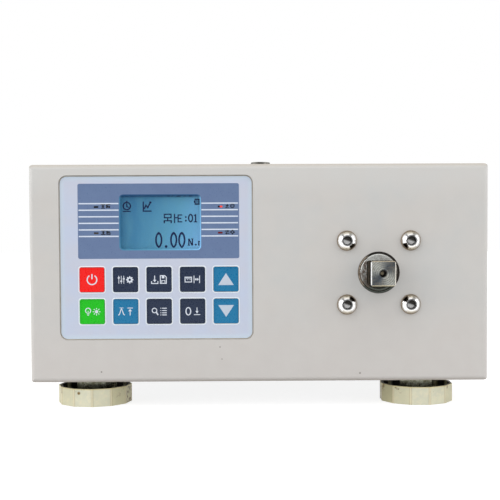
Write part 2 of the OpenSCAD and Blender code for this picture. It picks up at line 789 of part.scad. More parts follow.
// square drive, spindle, torsion section and rear flange in one piece
module torque_sensor() {
  color([0.72, 0.73, 0.75]) placed() {
    difference() {
      at_drive() union() {
        drive_square();
        spin_y() difference() {
          union() {
            polygon([[0, -spindle_proud], [spindle_d/2 - spindle_chamfer, -spindle_proud],
              [spindle_d/2, spindle_chamfer - spindle_proud], [spindle_d/2, seat_y1 + bond],
              [0, seat_y1 + bond]]);
            band(spindle_d/2 + collar_over, seat_y1, torsion_y0);
            band(torsion_d/2, torsion_y0 - bond, torsion_y1 + bond);
            band(sensor_flange_d/2, torsion_y1, sensor_y1);
            fillet(torsion_d/2, torsion_y0, 1, torsion_fillet);
            fillet(torsion_d/2, torsion_y1, -1, torsion_fillet);
          }
          band(sensor_bore_d/2, torsion_y0, sensor_y1 + cut);
        }
      }
      at_drive() {
        rod_y(-drive_len - cut, -drive_len + centre_hole_l, centre_hole_d/2);
        spin_y() polygon([
          [0, -drive_len - bond],
          [centre_hole_d/2 + centre_sink + bond, -drive_len - bond],
          [0, -drive_len + centre_hole_d/2 + centre_sink]
        ]);
        for (a = [0:90:270]) rotate([0, a, 0])
          block(torsion_d/2 - gauge_flat, torsion_d/2 + cut,
            torsion_y0 + torsion_fillet + bond, torsion_y1 - torsion_fillet - bond,
            -torsion_d/2, torsion_d/2);
      }
      at_flange_screws() rod_y(torsion_y1 - cut, sensor_y1 + cut, m6_d/2 + fit);
    }
  }
}

// housing behind the front sheet: lip, bearing seat and groove
module bearing_housing() {
  color([0.66, 0.67, 0.69]) placed() difference() {
    at_drive() prism_y(sheet_t, housing_y1) rrect(housing_w, housing_w, housing_corner_r);
    at_drive() {
      rod_y(sheet_t - cut, housing_y1 + cut, hole_r);
      rod_y(seat_y0, housing_y1 + cut, bearing_d/2 + press_fit_gap);
      rod_y(seat_y1, seat_y1 + circlip_t + circlip_gap, bearing_d/2 + circlip_deep);
    }
    at_housing_screws() rod_y(sheet_t - cut, housing_y1 + cut, m6_d/2 + fit);
  }
}

module housing_screws() {
  color([0.86, 0.86, 0.88]) placed() at_housing_screws() rotate([90, 0, 0])
    button_screw(m6_d, m6_head_d, m6_head_h, m6_screw_l, m6_socket);
}

// the rings' profiles, with the ball's groove in each
module ring_profile(r0, r1) {
  difference() {
    translate([r0, seat_y0]) square([r1 - r0, bearing_w]);
    translate([pitch_r, seat_y0 + bearing_w/2]) circle(r = ball_d/2 + ball_play);
  }
}
module bearing_outer_ring() {
  color([0.78, 0.79, 0.80]) placed() at_drive() spin_y() ring_profile(bearing_d/2 - ring_wall, bearing_d/2);
}
module bearing_inner_ring() {
  color([0.78, 0.79, 0.80]) placed() at_drive() spin_y()
    ring_profile(spindle_d/2 + press_fit_gap, spindle_d/2 + ring_wall);
}
module bearing_balls() {
  color([0.85, 0.86, 0.87]) placed() at_drive() for (i = [0:BALLS - 1]) rotate([0, i*360/BALLS, 0])
    translate([pitch_r, seat_y0 + bearing_w/2, 0]) sphere(r = ball_d/2);
}
// open ring in the housing's groove
module bearing_circlip() {
  r = bearing_d/2 + circlip_deep - circlip_gap;
  color([0.20, 0.20, 0.21]) placed() at_drive() difference() {
    rod_y(seat_y1, seat_y1 + circlip_t, r);
    rod_y(seat_y1 - cut, seat_y1 + circlip_t + cut, r - circlip_w);
    block(-circlip_open/2, circlip_open/2, seat_y1 - cut, seat_y1 + circlip_t + cut, 0, r + cut);
  }
}

// angle bracket with two ribs between the sensor's flange and the base plate
module sensor_bracket() {
  up = z_mid + sensor_flange_d/2 + bracket_top;
  foot_y1 = bracket_foot_y1;
  color([0.60, 0.61, 0.63]) placed() difference() {
    union() {
      translate([drive_x, 0, (plate_z1 + up)/2]) prism_y(sensor_y1, bracket_y1)
        rrect(bracket_w, up - plate_z1, bracket_corner_r);
      block(drive_x - bracket_w/2, drive_x + bracket_w/2, sensor_y1, foot_y1,
        plate_z1, plate_z1 + bracket_foot_t);
      for (sx = [-1, 1]) translate([drive_x + sx*(bracket_w/2 - bracket_rib_t/2) - bracket_rib_t/2, 0, 0])
        rotate([90, 0, 90]) linear_extrude(bracket_rib_t)
          polygon([[bracket_y1 - bond, plate_z1], [foot_y1, plate_z1],
            [foot_y1, plate_z1 + bracket_foot_t], [bracket_y1 + bond, plate_z1 + bracket_rib_up],
            [bracket_y1 - bond, plate_z1 + bracket_rib_up]]);
    }
    at_drive() rod_y(sensor_y1 - cut, bracket_y1 + cut, bracket_hole_d/2);
    at_flange_screws() rod_y(sensor_y1 - cut, bracket_y1 + cut, m6_d/2 + m6_play);
    at_bracket_screws() translate([0, 0, plate_z1 - cut])
      cylinder(h = bracket_foot_t + 2*cut, r = m6_d/2 + m6_play);
  }
}
module sensor_screws() {
  color([0.16, 0.16, 0.17]) placed() at_flange_screws() translate([0, bracket_y1, 0]) rotate([-90, 0, 0])
    cap_screw(m6_d, cap_head_d, cap_head_h, bracket_t + sensor_flange_t - bond, cap_socket);
}
module bracket_screws() {
  color([0.16, 0.16, 0.17]) placed() at_bracket_screws() translate([0, 0, plate_z1 + bracket_foot_t])
    cap_screw(m6_d, cap_head_d, cap_head_h, bracket_foot_t + base_t - bond, cap_socket);
}

module strain_gauges() {
  y = (torsion_y0 + torsion_y1)/2;
  color([0.86, 0.62, 0.22]) placed() at_drive() for (a = [0:90:270]) rotate([0, a, 0])
    block(torsion_d/2 - gauge_flat, torsion_d/2 - gauge_flat + gauge_t,
      y - gauge_l/2, y + gauge_l/2, -gauge_w/2, gauge_w/2);
}

// lead from the gauges to the board
module sensor_cable() {
  y = (torsion_y0 + torsion_y1)/2;
  x0 = pad_x1 + stud_edge - plug_w;
  x1 = drive_x - torsion_d/2 + gauge_flat - gauge_t;
  y0 = board_y1 + plug_l;
  color([0.75, 0.75, 0.73]) placed() translate([0, 0, z_mid]) {
    translate([x0, 0, 0]) rod_y(y0, y, lead_r);
    translate([x0, y, 0]) sphere(r = lead_r);
    translate([x0, y, 0]) rotate([0, 90, 0]) cylinder(h = x1 - x0, r = lead_r);
  }
}

// Battery and rear sockets

module at_cells() {
  for (i = [0:CELLS - 1]) translate([battery_x0, battery_y0 + i*cell_pitch, plate_z1 + cell_d/2])
    rotate([0, 90, 0]) children();
}
// cells side by side in a common sleeve
module battery_pack() {
  color([0.14, 0.30, 0.62]) placed() {
    at_cells() cylinder(h = cell_l, r = cell_d/2);
    block(battery_x0, battery_x1, battery_y0, battery_y1,
      plate_z1 + cell_d/2 - battery_web/2, plate_z1 + cell_d/2 + battery_web/2);
  }
}
// places of the strap's two screws, ahead of and behind the cells
module at_strap_feet() {
  reach = cell_d/2 + strap_gap + strap_t + strap_foot/2;
  for (y = [battery_y0 - reach, battery_y1 + reach]) translate([strap_x, y, 0]) children();
}
// bent strap over the cells
module battery_strap() {
  top = plate_z1 + cell_d + strap_gap;
  y0 = battery_y0 - cell_d/2 - strap_gap;
  y1 = battery_y1 + cell_d/2 + strap_gap;
  color([0.70, 0.71, 0.72]) placed() difference() {
    translate([strap_x - strap_w/2, 0, 0]) rotate([90, 0, 90]) linear_extrude(strap_w) {
      translate([y0 - strap_t - strap_foot, plate_z1]) square([strap_foot + strap_t, strap_t]);
      translate([y0 - strap_t, plate_z1]) square([strap_t, top + strap_t - plate_z1]);
      translate([y0 - strap_t, top]) square([y1 - y0 + 2*strap_t, strap_t]);
      translate([y1, plate_z1]) square([strap_t, top + strap_t - plate_z1]);
      translate([y1, plate_z1]) square([strap_foot + strap_t, strap_t]);
    }
    at_strap_feet() translate([0, 0, plate_z1 - cut]) cylinder(h = strap_t + 2*cut, r = m3_d/2 + m3_play);
  }
}
module battery_screws() {
  color([0.75, 0.75, 0.74]) placed() at_strap_feet() translate([0, 0, plate_z1 + strap_t])
    button_screw(m3_d, m3_head_d, m3_head_h, strap_t + base_t - bond, m3_socket);
}

// round charge socket: barrel, front flange and nut, with its centre pin
module charge_jack() {
  color([0.12, 0.12, 0.13]) placed() translate([-jack_left, 0, socket_z]) {
    difference() {
      union() {
        rod_y(case_d - jack_body_l, case_d + bond, jack_thread_d/2);
        rod_y(case_d, case_d + jack_flange_t, jack_flange_d/2);
        prism_y(case_d - sheet_t - jack_nut_t, case_d - sheet_t)
          circle(r = jack_nut_af/2/cos(180/HEX_SIDES), $fn = HEX_SIDES);
      }
      rod_y(case_d + jack_flange_t - jack_bore_l, case_d + jack_flange_t + cut, jack_bore_d/2);
    }
    rod_y(case_d - jack_bore_l, case_d + jack_flange_t - jack_pin_short, jack_pin_d/2);
  }
}

// nine-way data port: plate, D-shaped shell and its contacts
module d_outline(w, h) {
  polygon([[-w/2, h/2], [w/2, h/2], [w/2 - h*d_slope_share, -h/2], [-w/2 + h*d_slope_share, -h/2]]);
}
module data_port() {
  color([0.72, 0.73, 0.74]) placed() translate([-port_left, 0, socket_z]) {
    difference() {
      union() {
        prism_y(case_d - sheet_t - port_body_l, case_d + bond) rrect(port_body_w, port_body_h, port_corner_r);
        prism_y(case_d, case_d + port_plate_t) rrect(port_w, port_h, port_corner_r);
        prism_y(case_d, case_d + port_proud) d_outline(port_mouth_w, port_mouth_h);
      }
      prism_y(case_d + port_plate_t, case_d + port_proud + cut)
        d_outline(port_mouth_w - 2*port_wall, port_mouth_h - 2*port_wall);
      for (sx = [-1, 1]) translate([sx*port_screw_span/2, 0, 0])
        rod_y(case_d - cut, case_d + port_plate_t + cut, jackscrew_d/2 + fit);
    }
    for (i = [-2:2]) translate([i*port_pitch, 0, port_rows/2])
      rod_y(case_d + port_plate_t - bond, case_d + port_proud - port_face_in, port_pin_d/2);
    for (i = [-1.5:1.5]) translate([i*port_pitch, 0, -port_rows/2])
      rod_y(case_d + port_plate_t - bond, case_d + port_proud - port_face_in, port_pin_d/2);
  }
}
module port_jackscrews() {
  color([0.70, 0.70, 0.68]) placed() at_port_screws() difference() {
    union() {
      prism_y(case_d + port_plate_t, case_d + jackscrew_l)
        circle(r = jackscrew_af/2/cos(180/HEX_SIDES), $fn = HEX_SIDES);
      rod_y(case_d - sheet_t - jackscrew_nut_t - bond, case_d + port_plate_t + bond, jackscrew_d/2);
      prism_y(case_d - sheet_t - jackscrew_nut_t, case_d - sheet_t)
        circle(r = jackscrew_af/2/cos(180/HEX_SIDES), $fn = HEX_SIDES);
    }
    rod_y(case_d + port_plate_t + bond, case_d + jackscrew_l + cut, jackscrew_d/2 - port_wall/2);
  }
}

// Bubble level

module level_body() {
  color([0.82, 0.81, 0.78]) placed() translate([level_x, level_in, z_top]) rotate_extrude() difference() {
    union() {
      square([level_d/2, level_h - level_round]);
      square([level_d/2 - level_round, level_h]);
      translate([level_d/2 - level_round, level_h - level_round]) circle(r = level_round);
    }
    translate([0, level_floor]) square([level_d/2 - level_wall, level_h]);
  }
}
module level_vial() {
  color([0.62, 0.86, 0.40, 0.6]) placed() translate([level_x, level_in, z_top + level_floor])
    cylinder(h = level_h - level_floor - level_sink, r = level_d/2 - level_wall - level_gap);
}

// Levelling feet

module at_foot(sx, y) {
  translate([sx < 0 ? -case_w/2 + foot_side_l : case_w/2 - foot_side_r, y, 0]) children();
}
module at_feet() { for (sx = [-1, 1], y = [front_foot_y, rear_foot_y]) at_foot(sx, y) children(); }

// twelve-sided cup: thin wall, floor with a hollow under it and a bore
module foot_cup(sx, y) {
  turn = sx < 0 ? left_cup_turn : right_cup_turn;
  color([0.86, 0.86, 0.77]) placed() at_foot(sx, y) difference() {
    rotate([0, 0, -turn]) cylinder(h = cup_h, r = cup_r, $fn = CUP_SIDES);
    translate([0, 0, cup_floor_z]) rotate([0, 0, -turn])
      cylinder(h = cup_h, r = cup_inner_r, $fn = CUP_SIDES);
    translate([0, 0, -cut]) cylinder(h = cup_hollow_h + cut, r = cup_r*cos(180/CUP_SIDES) - cup_tread_w);
    translate([0, 0, -cut]) cylinder(h = cup_h, r = journal_d/2 + fit);
  }
}

// stud: thread, hexagon, collar, journal through the cup's floor and riveted end
module foot_stud(sx, y) {
  turn = sx < 0 ? left_hex_turn : right_hex_turn;
  top = plate_z0 + stud_up;
  color([0.55, 0.56, 0.50]) placed() at_foot(sx, y) {
    translate([0, 0, cup_hollow_h - rivet_gap - rivet_t]) cylinder(h = rivet_t, r = rivet_d/2 - rivet_round);
    translate([0, 0, cup_hollow_h - rivet_gap - rivet_t])
      cylinder(h = cup_floor_z - cup_hollow_h + rivet_gap + rivet_t + bond, r = journal_d/2);
    translate([0, 0, cup_floor_z]) cylinder(h = plate_z0 - hex_h - cup_floor_z + bond, r = collar_d/2);
    translate([0, 0, plate_z0 - hex_h]) rotate([0, 0, -90 - turn])
      cylinder(h = hex_h, r = hex_af/2/cos(180/HEX_SIDES), $fn = HEX_SIDES);
    translate([0, 0, plate_z0 - bond]) cylinder(h = stud_up + bond - stud_chamfer, r = stud_d/2);
    translate([0, 0, top - stud_chamfer])
      cylinder(h = stud_chamfer, r1 = stud_d/2, r2 = stud_d/2 - stud_chamfer);
  }
}
module foot_cup_fl() { foot_cup(-1, front_foot_y); }
module foot_cup_fr() { foot_cup(1, front_foot_y); }
module foot_cup_rl() { foot_cup(-1, rear_foot_y); }
module foot_cup_rr() { foot_cup(1, rear_foot_y); }
module foot_stud_fl() { foot_stud(-1, front_foot_y); }
module foot_stud_fr() { foot_stud(1, front_foot_y); }
module foot_stud_rl() { foot_stud(-1, rear_foot_y); }
module foot_stud_rr() { foot_stud(1, rear_foot_y); }

case_shell();
base_plate();
base_screws();
rear_panel();
rear_panel_screws();
keypad_overlay();
display_window();
keypad_circuit();
snap_domes();
keypad_carrier();
keypad_ribbon();
status_leds();
lcd_bezel();
lcd_glass();
lcd_backlight();
main_board();
board_chips();
board_spacers();
board_screws();
torque_sensor();
bearing_housing();
housing_screws();
bearing_outer_ring();
bearing_inner_ring();
bearing_balls();
bearing_circlip();
sensor_bracket();
sensor_screws();
bracket_screws();
strain_gauges();
sensor_cable();
battery_pack();
battery_strap();
battery_screws();
charge_jack();
data_port();
port_jackscrews();
level_body();
level_vial();
key_power();
key_set();
key_save();
key_unit();
key_up();
key_light();
key_peak();
key_view();
key_zero();
key_down();
foot_cup_fl();
foot_cup_fr();
foot_cup_rl();
foot_cup_rr();
foot_stud_fl();
foot_stud_fr();
foot_stud_rl();
foot_stud_rr();
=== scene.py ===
"""Looks of a bench tester for torque wrenches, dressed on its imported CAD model.

Lengths are in millimetres until they reach a mesh.  The y of a flat piece is
counted back from the front face of the case, as in the CAD source.
"""
import math

import bmesh
import bpy
from mathutils import Matrix, Vector
from mathutils.geometry import tessellate_polygon


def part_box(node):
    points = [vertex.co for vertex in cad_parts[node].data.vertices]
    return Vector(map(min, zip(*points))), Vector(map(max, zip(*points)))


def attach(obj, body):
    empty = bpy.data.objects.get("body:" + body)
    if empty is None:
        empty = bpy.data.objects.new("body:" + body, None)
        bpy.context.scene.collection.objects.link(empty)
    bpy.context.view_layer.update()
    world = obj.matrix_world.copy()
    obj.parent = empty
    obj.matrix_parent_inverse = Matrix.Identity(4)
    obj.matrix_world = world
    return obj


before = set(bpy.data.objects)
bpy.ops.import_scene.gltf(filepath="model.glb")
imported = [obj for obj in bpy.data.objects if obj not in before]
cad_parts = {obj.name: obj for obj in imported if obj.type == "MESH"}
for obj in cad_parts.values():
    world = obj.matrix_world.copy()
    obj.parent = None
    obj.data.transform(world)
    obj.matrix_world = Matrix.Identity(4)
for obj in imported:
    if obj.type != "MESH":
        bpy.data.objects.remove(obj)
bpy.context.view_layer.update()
MM = 0.001

# Places


def box_mm(node):
    """Lowest and highest corners of a CAD node."""
    low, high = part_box(node)
    return low / MM, high / MM


def middle(node):
    low, high = box_mm(node)
    return (low + high) / 2


def add(name, data):
    """New object in the scene."""
    obj = bpy.data.objects.new(name, data)
    bpy.context.scene.collection.objects.link(obj)
    return obj


CASE_LOW, CASE_HIGH = box_mm("case_shell")
FRONT = CASE_LOW.y

# keypad: the cut-out is a gap wider than the film all round
OVERLAY_GAP = 0.6
PAD_CORNER_R = 4.2
FILM_LOW, FILM_HIGH = box_mm("keypad_overlay")
FILM_MID = middle("keypad_overlay")
FILM_W = FILM_HIGH.x - FILM_LOW.x
FILM_H = FILM_HIGH.z - FILM_LOW.z
FILM_FACE = FILM_LOW.y - FRONT
PAD_X = FILM_LOW.x - OVERLAY_GAP
PAD_Z = FILM_HIGH.z + OVERLAY_GAP
WIN_LOW, WIN_HIGH = box_mm("display_window")
WIN_W = WIN_HIGH.x - WIN_LOW.x
WIN_H = WIN_HIGH.z - WIN_LOW.z
GLASS_FACE = box_mm("lcd_glass")[0].y - FRONT
KEY_LOW, KEY_HIGH = box_mm("key_power")
KEY_SIDE = KEY_HIGH.x - KEY_LOW.x

# centres of the status diodes from the top left corner of the cut-out, upper row first
DIODE_W = 2.3
DIODE_H = 0.8
LED_LOW, LED_HIGH = box_mm("status_leds")
LEDS_X = (LED_LOW.x + DIODE_W / 2 - PAD_X, LED_HIGH.x - DIODE_W / 2 - PAD_X)
LEDS_Z = (LED_HIGH.z - DIODE_H / 2 - PAD_Z, LED_LOW.z + DIODE_H / 2 - PAD_Z)

# drive and the screws round it
HEAD_R = 5.25
SPINDLE_HOLE_R = 10.9
DRIVE_HALF = 6.35
DRIVE_END = box_mm("torque_sensor")[0].y - FRONT
HEADS_LOW, HEADS_HIGH = box_mm("housing_screws")
DRIVE = middle("housing_screws")
SCREW_HALF = (HEADS_HIGH.x - HEADS_LOW.x) / 2 - HEAD_R

# feet, rear socket and level
FEET_MID = (middle("foot_cup_fl") + middle("foot_cup_rr")) / 2
FEET_HALF = (middle("foot_cup_rr") - middle("foot_cup_fl")) / 2
PORT = middle("data_port")
LEVEL = middle("level_body")

# Camera

LENS_MM = 68.71
SENSOR_MM = 36.0
CAMERA_AT = (-5.06, -572.37, 88.24)
YAW = math.radians(0.58)
PITCH = math.radians(2.02)
ROLL = math.radians(-0.27)
SHIFT_X = -0.0187
SHIFT_Y = 0.0463
CLIP = (0.01, 30.0)
PIXELS = 500  # side of the view that pixel places are given in


def make_camera():
    """Camera turned by YAW, tipped down by PITCH and rolled by ROLL."""
    ahead = Vector((math.sin(YAW) * math.cos(PITCH), math.cos(YAW) * math.cos(PITCH), -math.sin(PITCH)))
    level = Vector((math.cos(YAW), -math.sin(YAW), 0.0))
    above = level.cross(ahead)
    right = math.cos(ROLL) * level + math.sin(ROLL) * above
    up = math.cos(ROLL) * above - math.sin(ROLL) * level
    data = bpy.data.cameras.new("camera")
    data.lens = LENS_MM
    data.sensor_width = SENSOR_MM
    data.shift_x = SHIFT_X
    data.shift_y = SHIFT_Y
    data.clip_start, data.clip_end = CLIP
    camera = add("camera", data)
    turn = Matrix((right, up, -ahead)).transposed().to_4x4()
    camera.matrix_world = Matrix.Translation(Vector(CAMERA_AT) * MM) @ turn
    bpy.context.scene.camera = camera
    return camera


CAMERA = make_camera()


def on_face(column, row):
    """Point of the front face seen at a pixel of the camera's view."""
    local = Vector(((column - PIXELS / 2) / PIXELS + SHIFT_X, (PIXELS / 2 - row) / PIXELS + SHIFT_Y,
                    -LENS_MM / SENSOR_MM))
    ray = CAMERA.matrix_world.to_3x3() @ local
    start = CAMERA.matrix_world.translation
    hit = start + ray * ((FRONT * MM - start.y) / ray.y)
    return hit.x / MM, hit.z / MM


# Node trees


def lin(rgb):
    """sRGB in 0..255 to linear colour."""
    out = []
    for c in rgb:
        c /= 255.0
        out.append(c / 12.92 if c <= 0.04045 else ((c + 0.055) / 1.055) ** 2.4)
    return (*out, 1.0)


class Nodes:
    """A node tree with short ways to add nodes."""

    def __init__(self, tree):
        self.tree = tree

    def node(self, kind, **settings):
        node = self.tree.nodes.new("ShaderNode" + kind)
        for key, value in settings.items():
            setattr(node, key, value)
        return node

    def put(self, socket, value):
        """Links or sets a socket: three numbers are a colour, None leaves it as it is."""
        if isinstance(value, bpy.types.NodeSocket):
            self.tree.links.new(value, socket)
        elif isinstance(value, tuple) and len(value) == 3:
            socket.default_value = lin(value)
        elif value is not None:
            socket.default_value = value

    def fed(self, node, *values):
        """The node's first output, with values on its first inputs."""
        for socket, value in zip(node.inputs, values):
            self.put(socket, value)
        return node.outputs[0]

    def named(self, node, **values):
        """The node, with values on the inputs of those names."""
        for name, value in values.items():
            self.put(node.inputs[name], value)
        return node

    def math(self, operation, *values):
        return self.fed(self.node("Math", operation=operation), *values)

    def chain(self, operation, values):
        total = values[0]
        for value in values[1:]:
            total = self.math(operation, total, value)
        return total

    def plus(self, *values):
        return self.chain("ADD", values)

    def times(self, *values):
        return self.chain("MULTIPLY", values)

    def most(self, *values):
        return self.chain("MAXIMUM", values)

    def minus(self, a, b):
        return self.math("SUBTRACT", a, b)

    def ratio(self, a, b):
        return self.math("DIVIDE", a, b)

    def size(self, a):
        return self.math("ABSOLUTE", a)

    def sign(self, a):
        return self.math("SIGN", a)

    def wave(self, value, length):
        """Sine of value, with a period of length."""
        return self.math("SINE", self.times(value, 2 * math.pi / length))

    def radius(self, *values):
        return self.math("SQRT", self.plus(*[self.times(v, v) for v in values]))

    def nearest(self, value, half):
        """Value counted from the nearer of -half and half."""
        return self.minus(value, self.times(self.sign(value), half))

    def span(self, value, low, high, at_low=0.0, at_high=1.0, shape="LINEAR"):
        """Value from low..high to at_low..at_high, and level beyond."""
        node = self.node("MapRange", interpolation_type=shape, clamp=True)
        return self.fed(node, value, low, high, at_low, at_high)

    def ease(self, value, low, high, at_low=0.0, at_high=1.0):
        """A span that starts and ends gently."""
        return self.span(value, low, high, at_low, at_high, "SMOOTHSTEP")

    def beyond(self, value, limit, soft=0.08):
        """0 below the limit and 1 above it."""
        return self.span(value, limit - soft, limit + soft)

    def within(self, value, limit, soft=0.08):
        """1 below the limit and 0 above it."""
        return self.minus(1.0, self.beyond(value, limit, soft))

    def split(self, vector):
        node = self.node("SeparateXYZ")
        self.put(node.inputs[0], vector)
        return node.outputs

    def diffuse(self, grey):
        return self.fed(self.node("BsdfDiffuse"), (grey, grey, grey, 1))

    def blend(self, share, a, b):
        """Shader b over shader a."""
        return self.fed(self.node("MixShader"), share, a, b)


class Look(Nodes):
    """A node material on one Principled shader."""

    def __init__(self, name, rgb, rough=0.5, metal=0.0, alpha=None):
        self.mat = bpy.data.materials.new(name)
        self.mat.use_nodes = True
        super().__init__(self.mat.node_tree)
        self.bsdf = self.tree.nodes["Principled BSDF"]
        self.rgb = rgb
        self.color(rgb)
        self.rough(rough)
        self.set("Metallic", metal)
        self.set("Alpha", alpha)
        self.coords = self.node("TexCoord").outputs["Object"]
        self.height = None

    def set(self, name, value):
        self.put(self.bsdf.inputs[name], value)

    def color(self, value):
        self.set("Base Color", value)

    def rough(self, value):
        self.set("Roughness", value)

    def axes(self, origin=(0, 0, 0)):
        """x, y and z of the surface, in millimetres from origin in the frame."""
        parts = self.split(self.coords)
        return [self.math("MULTIPLY_ADD", part, 1 / MM, -start) for part, start in zip(parts, origin)]

    def feet_axes(self):
        """x and y from the axis of the nearest of the four feet, and z."""
        x, y, z = self.axes((FEET_MID.x, FEET_MID.y, 0))
        return self.nearest(x, FEET_HALF.x), self.nearest(y, FEET_HALF.y), z

    def noise(self, size, detail=2.0, stretch=(1, 1, 1), rough=0.5):
        """Noise whose blobs are about size millimetres across."""
        place = self.named(self.node("Mapping"), Vector=self.coords)
        place.inputs["Scale"].default_value = [1 / (size * MM * s) for s in stretch]
        node = self.node("TexNoise")
        self.named(node, Vector=place.outputs[0], Scale=1.0, Detail=detail, Roughness=rough)
        return node.outputs["Fac"]

    def patches(self, size, detail, low, high, at_low=0.0, at_high=1.0, **noise):
        """Noise cut off at low and high, as a share or as values between at_low and at_high."""
        return self.span(self.noise(size, detail, **noise), low, high, at_low, at_high)

    def mix(self, share, a, b):
        node = self.node("Mix", data_type="RGBA")
        for index, value in ((0, share), (6, a), (7, b)):
            self.put(node.inputs[index], value)
        return node.outputs[2]

    def coats(self, under, *coats):
        """Colour under with coats laid over it, each a share and a colour."""
        for share, colour in coats:
            under = self.mix(share, under, colour)
        return under

    def clouds(self, under, rgb, size, detail, low, high, **noise):
        """Colour under with patches of rgb."""
        return self.mix(self.patches(size, detail, low, high, **noise), under, rgb)

    def mottle(self, size, dark, light):
        return self.mix(self.noise(size, 3.0), dark, light)

    def bump(self, height, depth):
        """Adds a height of depth millimetres to the relief."""
        step = self.times(height, depth)
        self.height = step if self.height is None else self.plus(self.height, step)

    def done(self, edge=0.0):
        """Closes the material; edge is the radius that rounds sharp edges."""
        normal = None
        if edge:
            normal = self.named(self.node("Bevel", samples=6), Radius=edge * MM).outputs[0]
        if self.height is not None:
            relief = self.node("Bump")
            self.named(relief, Strength=1.0, Distance=MM, Height=self.height, Normal=normal)
            normal = relief.outputs[0]
        self.set("Normal", normal)
        return self.mat


# Materials of the case and the keypad

# specks in the paint: column, row and radius
SPECK_PIXELS = ((220, 347, 0.45), (222, 359, 0.4), (101.5, 372, 0.55), (360, 373, 0.6))
BEND_SEEN = 3.0  # how far behind the front face the bends get painted shade
HOLE_SHADE_SEEN = 4.0  # how far behind the front face the drive's hole gets painted shade


def paint():
    """Powder coat: fine orange peel, faint warm and cool clouds, painted light paler towards the top and
    warmer towards the bottom, painted shade on the top and bottom bends and in the drive's hole, and a few
    specks.
    """
    k = Look("case_paint", (205, 203, 199))
    x, y, z = k.axes()
    # clouds, with painted light: paler towards the top and warmer towards the bottom
    warm = k.coats(
        k.clouds((206, 203, 199), (203, 203, 201), 26, 2, 0.35, 0.65),
        (k.ease(z, 70, 25, 0, 0.8), (206, 201, 197)), (k.ease(z, 108, 124, 0, 0.7), (213, 212, 209)))
    base = k.mix(k.patches(9, 3, 0.3, 0.7), warm, k.mix(0.5, warm, (210, 207, 203)))
    # painted shade on the top and bottom bends
    bend = k.math("LESS_THAN", y, FRONT + BEND_SEEN)
    top = k.span(z, CASE_HIGH.z - 2.2, CASE_HIGH.z - 0.4, 0, 0.8)
    foot = k.span(z, CASE_LOW.z + 1.8, CASE_LOW.z + 0.4, 0, 0.5)
    # painted shade on the edge of the hole for the drive, in the gap round the spindle
    across, _, above = k.axes(DRIVE)
    edge = k.within(k.radius(across, above), SPINDLE_HOLE_R + 0.05, 0.15)
    edge = k.times(edge, k.math("LESS_THAN", y, FRONT + HOLE_SHADE_SEEN))
    dots = []
    for column, row, r in SPECK_PIXELS:
        speck_x, speck_z = on_face(column, row)
        distance = k.radius(k.minus(x, speck_x), k.minus(z, speck_z))
        dots.append(k.span(distance, r / 2, r, 1, 0))
    marks = k.times(k.most(*dots), k.math("LESS_THAN", y, FRONT + 0.5), 0.7)
    k.color(k.coats(
        base, (k.times(bend, top), (178, 170, 158)), (k.times(bend, foot), (186, 174, 162)),
        (edge, (60, 50, 42)), (marks, (96, 84, 74))))
    k.rough(k.patches(1.4, 2, 0.3, 0.7, 0.36, 0.5))
    k.bump(k.noise(0.8, 2), 0.012)
    return k.done()


def plastic(name, rgb, other, rough=0.45, grain=0.3, depth=0.004, edge=0, blob=6):
    """Moulded or printed plastic: two close tones in clouds and a fine grain."""
    k = Look(name, rgb)
    k.color(k.clouds(k.rgb, other, blob, 3, 0.3, 0.7))
    k.rough(k.patches(grain * 3, 2, 0.3, 0.7, rough - 0.06, rough + 0.06))
    k.bump(k.noise(grain, 1), depth)
    return k.done(edge)


def metal(name, rgb, other, rough=0.3, stretch=(1, 1, 1)):
    """Worked metal: fine lines along the long axis of stretch and cloudy tarnish."""
    k = Look(name, rgb, metal=1)
    k.color(k.clouds(k.rgb, other, 4, 4, 0.4, 0.7))
    k.rough(k.patches(2.8, 3, 0.3, 0.7, rough * 0.8, rough * 1.25))
    k.bump(k.noise(0.25, 2, stretch), 0.004)
    return k.done(0.15)


def film_look():
    """Keypad film: pale blue, a little lighter towards its cut edge, fine matt grain."""
    k = Look("film", (199, 209, 230), rough=0.34)
    x, _, z = k.axes(FILM_MID)
    past_edge = k.most(k.minus(k.size(x), FILM_W / 2), k.minus(k.size(z), FILM_H / 2))
    k.color(k.coats(
        k.clouds(k.rgb, (203, 208, 224), 14, 3, 0.35, 0.65),
        (k.ease(past_edge, -3.2, -0.2, 0, 0.8), (204, 219, 233))))
    k.bump(k.noise(0.22, 1), 0.003)
    return k.done()


CELL = 0.35  # pitch of the display's cells
LCD_ENDS = ((44, 104, 146), (134, 194, 244))  # dark and light end of the display's colours
LCD_STOPS = ((0.3, (62, 126, 164)), (0.6, (84, 150, 184)), (0.85, (108, 172, 216)))


def lcd_look(name, glow):
    """Lit display: blue, darker to the left, with a painted shadow along its top edge, and its cell grid."""
    k = Look(name, (85, 145, 190), rough=0.35)
    x, _, z = k.axes((WIN_LOW.x, 0, WIN_HIGH.z))
    right = k.span(x, 0, WIN_W)
    down = k.span(z, 0, -WIN_H)
    ramp = k.node("ValToRGB")
    shade = k.fed(ramp, k.plus(k.times(right, 0.78), k.times(down, 0.22)))
    stops = ramp.color_ramp.elements
    for stop, rgb in zip(stops, LCD_ENDS):
        stop.color = lin(rgb)
    for place, rgb in LCD_STOPS:
        stops.new(place).color = lin(rgb)
    lines = []
    for axis in (x, z):
        from_middle = k.size(k.minus(k.math("FRACT", k.times(axis, 1 / CELL)), 0.5))
        lines.append(k.span(from_middle, 0.4, 0.5, 0, 0.12))
    streaks = k.patches(7, 2, 0.35, 0.7, 0, 0.3, stretch=(0.6, 1, 2.4))
    # dark band at the top edge: painted shadow of the window's edge
    body = k.coats(
        shade, (streaks, (96, 160, 178)), (k.ease(z, -0.3, -2, 0.9, 0), (22, 66, 112)),
        (k.most(*lines), (40, 92, 138)))
    k.color(body)
    k.set("Emission Color", body)
    k.set("Emission Strength", glow)
    return k.done()


